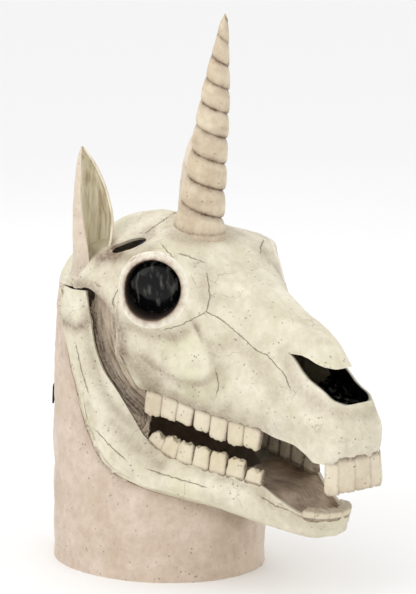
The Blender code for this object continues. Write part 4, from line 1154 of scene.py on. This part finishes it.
# Share of the horn's length, share of its radius
HORN_TAPER = [
    (0.0, 1.0), (0.18, 0.89), (0.40, 0.74), (0.66, 0.555), (0.88, 0.28), (0.97, 0.14), (1.0, 0.02),
]
HORN_SIDES = 112
HORN_RINGS = 620
HORN_GLUE_LINE = 0.085

# Turns of the spiral that its plain collar takes up
HORN_COLLAR = 1.3


def horn_rib(phase):
    """Height of the rib, 0 in the groove and 1 on its belly; its lower side is the fuller one."""
    t = (phase % 1.0) ** 0.80
    return (1.0 - abs(2.0 * t - 1.0) ** 3.2) ** 0.55


@lru_cache(maxsize=None)
def horn_radius(up):
    return HORN_RADIUS * column_at(HORN_TAPER, 1, up)


def horn_phase(around, up):
    """Turns of the spiral below a place on the horn; they come closer together towards the tip."""
    return HORN_TURNS * up * (0.82 + 0.18 * up) + around


def horn_place(around, up):
    radius = horn_radius(round(up, 6))
    angle = 2 * math.pi * around
    phase = horn_phase(around, up)
    rib = horn_rib(phase) if phase > HORN_COLLAR else 1.0
    foot_flare = 1 + 0.10 * math.exp(-max(up - 0.07, 0.0) / 0.035)
    reach = radius * foot_flare * (1 - HORN_GROOVE * (1 - rib))
    return Vector((reach * math.cos(angle), reach * math.sin(angle), up * HORN_LENGTH))


horn_bm = bmesh.new()
bmesh.ops.create_grid(horn_bm, x_segments=HORN_SIDES, y_segments=HORN_RINGS, size=0.5)
horn_layer = horn_bm.verts.layers.float.new("groove")
for vert in horn_bm.verts:
    around, up = vert.co.x + 0.5, vert.co.y + 0.5
    phase = horn_phase(around, up)
    gap = min(phase % 1.0, 1.0 - phase % 1.0)
    uneven = 1.0 + 0.9 * noise.noise(Vector((around * 9, phase * 1.3, 2.0)))
    smear = 0.28 * max(noise.noise(Vector((around * 5, phase * 4.0, 9.0))), 0.0)
    groove = uneven * math.exp(-gap / 0.085) if phase > HORN_COLLAR - 0.3 else 0.0
    glue = 0.6 * math.exp(-abs(up - HORN_GLUE_LINE) / 0.008)
    vert[horn_layer] = smear + groove + glue
    vert.co = horn_place(around, up)
    vert.co.x += 0.0005 * noise.noise(vert.co * 60)
    vert.co.y += 0.0005 * noise.noise(vert.co * 60 + Vector((9.0, 0.0, 0.0)))
bmesh.ops.remove_doubles(horn_bm, verts=horn_bm.verts, dist=0.00002)
bmesh.ops.holes_fill(horn_bm, edges=horn_bm.edges[:])
bmesh.ops.recalc_face_normals(horn_bm, faces=horn_bm.faces)
foot = skull_point(HORN_SEAT, None, 1) - Vector((0.0, 0.0, HORN_SINK))
horn_bm.transform(Matrix.Translation(foot) @ Matrix.Rotation(HORN_LEAN, 4, "X"))

horn_paint = bone_material("Horn latex", "#dccfb6", "#bfab91", "#6f5744", "#cfc099", crack_share=0.25)
horn = make_object("spiral_horn", horn_bm, horn_paint)
groove_values = np.empty(len(horn.data.vertices), dtype=np.float32)
horn.data.attributes["groove"].data.foreach_get("value", groove_values)
mark(horn.data, "wash", np.clip(groove_values, 0.0, 1.0))
dress(horn, "horn", "horn")


# Ears.  Thin leaves of latex rolled into a cone that opens forwards, smooth and pink outside, brushed with
# olive and brown streaks inside; their edges are thick and rolled.

EAR_LENGTH = 0.128
EAR_RADIUS = 0.020
EAR_SPACING = 0.073
EAR_BACK = 0.020
EAR_SEAT = 0.294
EAR_CURL = math.radians(246)
EAR_FACING = math.radians(20)
EAR_CLOSING = math.radians(84)
EAR_THICKNESS = 0.0022

# Share of the ear's length, share of its radius, shift forward and shift outward as shares of its radius
EAR_SECTIONS = [
    (0.00, 1.04, 0.00, 0.08), (0.07, 0.93, 0.00, 0.07), (0.14, 0.89, 0.00, 0.05), (0.28, 0.98, 0.10, 0.00),
    (0.42, 1.00, 0.12, 0.00), (0.58, 0.90, 0.08, 0.02), (0.75, 0.70, -0.04, 0.06),
    (0.88, 0.44, -0.18, 0.12), (0.96, 0.22, -0.28, 0.18), (1.00, 0.05, -0.34, 0.22),
]

ear_paint = bone_material("Ear latex", "#dccfbe", "#c9b6a4", "#7d6958", "#d2cdaa", crack_share=0.15)
ear_shader = ear_paint.node_tree.nodes["Principled BSDF"]
outside_colour = ear_shader.inputs["Base Color"].links[0].from_socket
inside_mark = add(ear_paint, "ShaderNodeAttribute", {"attribute_name": "inside"})
here = add(ear_paint, "ShaderNodeTexCoord").outputs["Object"]
# brush streaks 2 mm wide and 30 mm long
drawn_out = add(ear_paint, "ShaderNodeMapping", Vector=here, Scale=(1.0, 1.0, 0.10))
streaks = add(ear_paint, "ShaderNodeTexNoise", Vector=drawn_out.outputs[0], Scale=230.0, Detail=4.0)
streak = add(ear_paint, "ShaderNodeValToRGB", Fac=streaks.outputs["Fac"])
set_stops(streak, (0.34, "#b9a88b"), (0.48, "#ded5ba"), (0.66, "#efe9d4"))
two_sides = add(ear_paint, "ShaderNodeMix", {"data_type": "RGBA"}, Factor=inside_mark.outputs["Fac"],
                _6=outside_colour, _7=streak.outputs["Color"])
join(ear_paint, ear_shader, Base_Color=two_sides.outputs[2])


def make_ear(side, side_name):
    """A leaf rolled round an upright axis, with its edges meeting at the foot."""
    @lru_cache(maxsize=None)
    def section_at(share):
        return [EAR_RADIUS * column_at(EAR_SECTIONS, column, share) for column in (1, 2, 3)]

    def place_of(around, up):
        share = math.sin(math.pi / 2 * up)
        radius, forward, outward = section_at(round(share, 6))
        centre = Vector((side * (EAR_SPACING + outward), EAR_BACK - forward, EAR_SEAT + share * EAR_LENGTH))
        # the cone closes towards its foot
        curl = EAR_CURL + EAR_CLOSING * (1 - min(share / 0.62, 1.0)) ** 1.3
        turn = curl * (around - 0.5)
        heading = math.pi / 2 + side * EAR_FACING + turn
        edge = abs(2 * around - 1)
        roll = 0.0018 * max(edge - 0.86, 0.0) / 0.14 * math.sin(math.pi * min(share + 0.15, 1.0))
        reach = radius + roll
        fold = 0.0008 * math.sin(5 * math.pi * around) * math.sin(math.pi * share)
        return centre + Vector(((reach + fold) * math.cos(heading), (reach + fold) * math.sin(heading), 0.0))

    bm = shaped_grid(84, 130, place_of)
    point_outwards(bm, Vector((side * EAR_SPACING, EAR_BACK, EAR_SEAT + EAR_LENGTH / 2)))
    for vert in bm.verts:
        vert.co += vert.normal * 0.0005 * noise.noise(vert.co * 70)
    ear = make_object("ear_leaf_" + side_name, bm, ear_paint)
    finish_wall(ear, EAR_THICKNESS)
    points = read_vectors(ear.data.vertices, "co")
    ways = read_vectors(ear.data.vertices, "normal")
    middle = np.array((side * EAR_SPACING, EAR_BACK + NECK_AXIS_Y - 0.004, 0.0))
    inward = middle - points
    inward[:, 2] = 0.0
    inward /= np.maximum(np.linalg.norm(inward, axis=1, keepdims=True), 0.0001)
    mark(ear.data, "inside", np.clip((inward * ways).sum(axis=1) * 2.5, 0.0, 1.0))
    # darker in the ear's hollows and towards its foot
    low = np.clip((0.325 - points[:, 2]) / 0.02, 0.0, 1.0)
    mark(ear.data, "wash", np.clip(hollowness(ear.data, 6) * 0.3 + 0.35 * low, 0.0, 1.0))
    dress(ear, "ear", "ear_" + side_name)


for side, side_name in SIDES:
    make_ear(side, side_name)


# Teeth.  Cast in one with the jaws, each a chunky block with rounded corners, cream, with painted shade as a
# dark line round its neck and down the gaps between the teeth; the crowns are worn uneven.

CHEEK_TEETH = 7
TOOTH_DEPTH = 0.010
CROWN_DEPTH = 0.78
TOOTH_BACK = 0.78
INCISOR_BACK = 0.55
CHEEK_TOOTH_HEIGHT = 0.0225
INCISORS = 6
INCISOR_HEIGHT = 0.031
INCISOR_DEPTH = 0.011
LOWER_INCISOR_HEIGHT = 0.006
UPPER_TOOTH_HEIGHTS = [0.96, 1.02, 1.02, 0.90, 0.90, 1.00, 1.08]
LOWER_TOOTH_HEIGHTS = [0.55, 0.78, 0.88, 0.90, 0.86, 0.80, 0.52]
UPPER_ROW = (0.640, 0.190)
LOWER_ROW = (3.85, 8.05)
TOOTH_CUTS = 13
TOOTH_SQUARENESS = 5.5
TOOTH_SWELL = 1.12

# How deep a tooth's foot is sunk in the gum
TOOTH_ROOT = 1.6 * WALL

tooth_paint = bone_material("Cream tooth latex", "#ddd2bc", "#c9bba1", "#6a5643", "#d0c49c", crack_share=0.2)


def make_tooth(name, node, base, ways, size, narrowing, worn):
    """A swollen block whose ways run along the row, towards the crown and into the mouth.

    Size is its width, height and depth; narrowing is the crown's and the back's share of its width.
    """
    row_way, crown_way, mouth_way = ways
    width, height, depth = size
    crown_width, back_width = narrowing
    bm = bmesh.new()
    bmesh.ops.create_cube(bm, size=1.0)
    bmesh.ops.subdivide_edges(bm, edges=bm.edges[:], cuts=TOOTH_CUTS, use_grid_fill=True)
    row_way = row_way.normalized()
    crown_way = (crown_way - crown_way.dot(row_way) * row_way).normalized()
    inward = crown_way.cross(row_way)
    back = math.copysign(1.0, inward.dot(mouth_way))
    layer = bm.verts.layers.float.new("wash")
    seed = Vector((7.0 * len(name), 3.0 * width * 1000, 5.0 * base.x * 100))
    for vert in bm.verts:
        flat = vert.co * 2.0
        # squeeze the cube towards a ball, most at its corners
        swelling = sum(abs(part) ** TOOTH_SQUARENESS for part in flat) ** (1 / TOOTH_SQUARENESS)
        round_place = flat * (max(abs(part) for part in flat) / swelling)
        # painted shade: dark down the sides that meet the next teeth and round the neck at the gum; the
        # crown's tip is darker too
        gap_shade = 0.85 * abs(round_place.x) ** 9
        sunk = 2 * TOOTH_ROOT / height - 1
        gum_shade = 0.8 * math.exp(-max(round_place.z - sunk, 0.0) / 0.07)
        crown_wash = 0.35 * max(round_place.z, 0.0) ** 8
        vert[layer] = min(gap_shade + gum_shade + crown_wash, 1.0)
        place = round_place * 0.5
        if place.y * back > 0:
            place.x *= 1 + (back_width - 1) * abs(round_place.y)
        crown = (round_place.z + 1) / 2
        place.x *= 1 + (crown_width - 1) * crown
        place.y *= 1 + (CROWN_DEPTH - 1) * crown
        spot = Vector((place.x * width, place.y * depth, (place.z + 0.5) * height))
        spot.z += worn * crown ** 3 * noise.noise(spot * 260 + seed)
        bulge = 0.0004 * noise.noise(spot * 160 + seed)
        vert.co = spot + Vector((bulge, bulge, 0.0))
    turn = Matrix((row_way, inward, crown_way)).transposed().to_4x4()
    bm.transform(Matrix.Translation(base) @ turn)
    bmesh.ops.recalc_face_normals(bm, faces=bm.faces)
    tooth = make_object(name, bm, tooth_paint)
    dress(tooth, "tooth", node)


def cheek_teeth(jaw_name, line_at, span, heights, crown_up, crown_width, worn):
    """Both rows of a jaw, along the gum line between two of its places."""
    for side, side_name in SIDES:
        for k in range(CHEEK_TEETH):
            front = line_at(span[0] + (span[1] - span[0]) * k / CHEEK_TEETH)
            rear = line_at(span[0] + (span[1] - span[0]) * (k + 1) / CHEEK_TEETH)
            front = Vector((side * front.x, front.y, front.z))
            rear = Vector((side * rear.x, rear.y, rear.z))
            base = (front + rear) / 2
            base.x -= side * (TOOTH_DEPTH / 2 - 0.25 * WALL)
            base.z -= crown_up * TOOTH_ROOT
            height = CHEEK_TOOTH_HEIGHT * heights[k] + TOOTH_ROOT
            width = (front - rear).length + 0.0012
            ways = (rear - front, Vector((0.0, 0.0, crown_up)), Vector((-side, 0.0, 0.0)))
            number = f"{side_name}_{k + 1}"
            make_tooth(f"{jaw_name}_cheek_tooth_{number}", f"{jaw_name}_tooth_{number}", base, ways,
                       (width, height, TOOTH_DEPTH * TOOTH_SWELL), (crown_width, TOOTH_BACK), worn)


def front_teeth(jaw_name, arc_at, height, lean, crown_up, worn):
    """The incisors side by side round the end of a jaw, leaning outwards."""
    for k in range(INCISORS):
        first, second = arc_at(-1 + 2 * k / INCISORS), arc_at(-1 + 2 * (k + 1) / INCISORS)
        base = (first + second) / 2
        first.z = second.z = base.z
        outward = Vector((second - first)).cross(Vector((0.0, 0.0, 1.0))).normalized()
        if outward.y > 0:
            outward = -outward
        crown = Vector((0.0, 0.0, crown_up)) + outward * lean
        base = base - outward * (INCISOR_DEPTH / 2 - 0.15 * WALL) - crown * TOOTH_ROOT
        width = (second - first).length + 0.0026
        make_tooth(f"{jaw_name}_front_tooth_{k + 1}", f"{jaw_name}_incisor_{k + 1}", base,
                   (second - first, crown, -outward),
                   (width, height + TOOTH_ROOT, INCISOR_DEPTH * TOOTH_SWELL), (1.0, INCISOR_BACK), worn)


def jaw_gum_at(along):
    """The gum line's point at a distance along the jaw."""
    low, high = 0.0, float(len(JAW_RIBS) - 1)
    for _ in range(30):
        middle = (low + high) / 2
        if -jaw_rib(middle)[2].y > along:
            low = middle
        else:
            high = middle
    return jaw_rib(high)[2]


def upper_incisor_arc(place):
    """The upper gum line round the muzzle, from -1 on the right through 0 at the front to 1."""
    angle = place * math.pi / 2
    along = FACE_REACH * (0.908 + 0.088 * math.cos(angle))
    out = 0.335 * SKULL_HALF_WIDTH * math.sin(angle)
    return Vector((out, -along, skull_edge(skull_share(along)).z))


def lower_incisor_arc(place):
    """The lower gum line, in the same way."""
    angle = place * math.pi / 2
    along = JAW_REACH * (0.905 + 0.095 * math.cos(angle))
    out = 0.295 * HEM_HALF_WIDTH * math.sin(angle)
    return Vector((out, -along, jaw_gum_at(along - 0.0001).z))


cheek_teeth("upper", skull_edge, UPPER_ROW, UPPER_TOOTH_HEIGHTS, -1, 0.93, 0.0022)
cheek_teeth("lower", lambda place: jaw_rib(place)[2], LOWER_ROW, LOWER_TOOTH_HEIGHTS, 1, 0.84, 0.0030)
front_teeth("upper", upper_incisor_arc, INCISOR_HEIGHT, 0.12, -1, 0.0015)
front_teeth("lower", lower_incisor_arc, LOWER_INCISOR_HEIGHT, 0.45, 1, 0.0015)


# Mouth.  The casting's roof and floor behind the teeth, brushed brown with fine strokes that run forward,
# and the nose's lining of glossy black film.

MOUTH_COLUMNS = 60
MOUTH_ROWS = 110


def sheet_between(ends, half_width_at, height_at, rise, rows=MOUTH_ROWS):
    """A curved floor or roof across the midline."""
    edges = []
    for k in range(rows + 1):
        place = ends[0] + (ends[1] - ends[0]) * k / rows
        edges.append(Vector((half_width_at(place), -place, height_at(place))))

    def place_of(across, along):
        edge = edges[round(along * rows)]
        side = 2 * across - 1
        return Vector((side * edge.x, edge.y, edge.z + rise * (1 - side * side)))

    return shaped_grid(MOUTH_COLUMNS, rows, place_of)


# Acrylic paint dragged dry over latex, so the brush's strokes show
mouth_paint, mouth_shader = new_material("Brushed brown latex")
here = add(mouth_paint, "ShaderNodeTexCoord").outputs["Object"]
# strokes 0.8 mm wide and 12 mm long, along the jaw
along_jaw = add(mouth_paint, "ShaderNodeMapping", Vector=here, Scale=(1.0, 0.07, 0.6))
strokes = add(mouth_paint, "ShaderNodeTexNoise", Vector=along_jaw.outputs[0], Scale=520.0, Detail=3.0)
patches = add(mouth_paint, "ShaderNodeTexNoise", Vector=here, Scale=40.0, Detail=3.0)
both = add(mouth_paint, "ShaderNodeMath", {"operation": "MULTIPLY_ADD"}, _0=strokes.outputs["Fac"], _1=0.5,
           _2=patches.outputs["Fac"])
mouth_ramp = add(mouth_paint, "ShaderNodeValToRGB", Fac=both.outputs[0])
set_stops(mouth_ramp, (0.55, "#77634f"), (0.76, "#9c8871"), (0.95, "#bba791"))
mouth_bump = add(mouth_paint, "ShaderNodeBump", Height=strokes.outputs["Fac"], Strength=0.6, Distance=0.0006)
join(mouth_paint, mouth_shader, Base_Color=mouth_ramp.outputs["Color"], Roughness=0.5,
     Normal=mouth_bump.outputs["Normal"])

palate_bm = sheet_between((0.37 * FACE_REACH, 0.90 * FACE_REACH),
                          lambda along: skull_edge(skull_share(along)).x - 0.6 * WALL,
                          lambda along: skull_edge(skull_share(along)).z + 1.5 * WALL, 0.010)
for vert in palate_bm.verts:
    vert.co.z += 0.0008 * math.sin(vert.co.y * 900 + 30 * abs(vert.co.x))
bmesh.ops.recalc_face_normals(palate_bm, faces=palate_bm.faces)
palate = make_object("mouth_roof", palate_bm, mouth_paint)
finish_wall(palate, 0.002)
dress(palate, "recess", "palate")

floor_bm = sheet_between((0.46 * JAW_REACH, 0.93 * JAW_REACH),
                         lambda along: jaw_gum_at(along).x - 0.4 * WALL,
                         lambda along: jaw_gum_at(along).z - 0.6 * WALL, -0.009)
for vert in floor_bm.verts:
    vert.co.z += 0.0010 * noise.noise(Vector((vert.co.x * 120, vert.co.y * 24, 1.0)))
bmesh.ops.recalc_face_normals(floor_bm, faces=floor_bm.faces)
mouth_bed = make_object("mouth_bed", floor_bm, mouth_paint)
finish_wall(mouth_bed, 0.002)
dress(mouth_bed, "recess", "mouth_floor")

NOSE_BED_BACK = 0.70
NOSE_BED_FRONT = 0.945


def nose_bed_half_width(along):
    return skull_point(skull_share(along), 4, 5).x - 1.6 * WALL


def nose_bed_height(along):
    """The bed falls forwards by 0.16 of the face's depth in 0.25 of its reach."""
    return GUM_LEVEL + FACE_DEPTH * (0.30 - 0.16 * (skull_share(along) - NOSE_BED_BACK) / 0.25)


nose_bm = sheet_between((NOSE_BED_BACK * FACE_REACH, NOSE_BED_FRONT * FACE_REACH), nose_bed_half_width,
                        nose_bed_height, -0.006)
for vert in nose_bm.verts:
    vert.co.z += 0.0022 * noise.noise(vert.co * 75)
bmesh.ops.recalc_face_normals(nose_bm, faces=nose_bm.faces)
nose_bed = make_object("nose_film", nose_bm, disc_paint)
finish_wall(nose_bed, 0.002)
dress(nose_bed, "black_gloss", "nose_lining")


# Straps.  Two bands of black elastic, sewn across the nape to keep the mask's split back closed.

STRAP_WIDTH = 0.017
STRAP_UPPER = 0.223
STRAP_LOWER = 0.165
STRAP_HALF_SPAN = math.radians(46)
STRAP_THICKNESS = 0.0018
STRAP_CLEARANCE = 0.0006

# Share of the nape's reach at which the sleeve's top is as wide as the bands take it to be
STRAP_WIDTH_AT = -0.40

# Matt ribbed braid over rubber
strap_paint, strap_shader = new_material("Black woven elastic")
here = add(strap_paint, "ShaderNodeTexCoord").outputs["Object"]
# ribs 1.2 mm apart along the band, and a fine cross weave
ribs = add(strap_paint, "ShaderNodeTexWave", {"bands_direction": "Z"}, Vector=here, Scale=135.0,
           Distortion=0.4)
threads = add(strap_paint, "ShaderNodeTexNoise", Vector=here, Scale=900.0, Detail=2.0)
cloth = add(strap_paint, "ShaderNodeMath", {"operation": "MULTIPLY"}, _0=ribs.outputs["Fac"],
            _1=threads.outputs["Fac"])
cloth_colour = add(strap_paint, "ShaderNodeMix", {"data_type": "RGBA"}, Factor=cloth.outputs[0],
                   _6=srgb("#0e0e10"), _7=srgb("#3a3a3e"))
strap_bump = add(strap_paint, "ShaderNodeBump", Height=cloth.outputs[0], Strength=0.8, Distance=0.0006)
join(strap_paint, strap_shader, Base_Color=cloth_colour.outputs[2], Roughness=0.85,
     Normal=strap_bump.outputs["Normal"])


def make_strap(name, node, height):
    """A flat band across the nape that lies on the sleeve, with soft edges."""
    def place_of(around, edge):
        turn = math.pi + STRAP_HALF_SPAN * (2 * around - 1)
        up = height + (edge - 0.5) * STRAP_WIDTH
        shrink = (up / NECK_HEIGHT) ** 4
        top_out = column_at(SKULL_SECTIONS, 6, STRAP_WIDTH_AT) * SKULL_HALF_WIDTH
        half_width = HEM_HALF_WIDTH + (top_out - HEM_HALF_WIDTH) * shrink
        half_depth = HEM_HALF_DEPTH + (NAPE_REACH - HEM_HALF_DEPTH) * shrink
        clear = STRAP_THICKNESS + STRAP_CLEARANCE
        out = (half_width + clear) * math.sin(turn)
        along = (half_depth + clear) * math.cos(turn)
        return Vector((out, -along, up))

    bm = shaped_grid(90, 14, place_of)
    point_outwards(bm, Vector((0.0, 0.0, height)))
    strap = make_object(name, bm, strap_paint)
    finish_wall(strap, STRAP_THICKNESS)
    dress(strap, "strap", node)


make_strap("nape_band_upper", "back_strap_upper", STRAP_UPPER)
make_strap("nape_band_lower", "back_strap_lower", STRAP_LOWER)
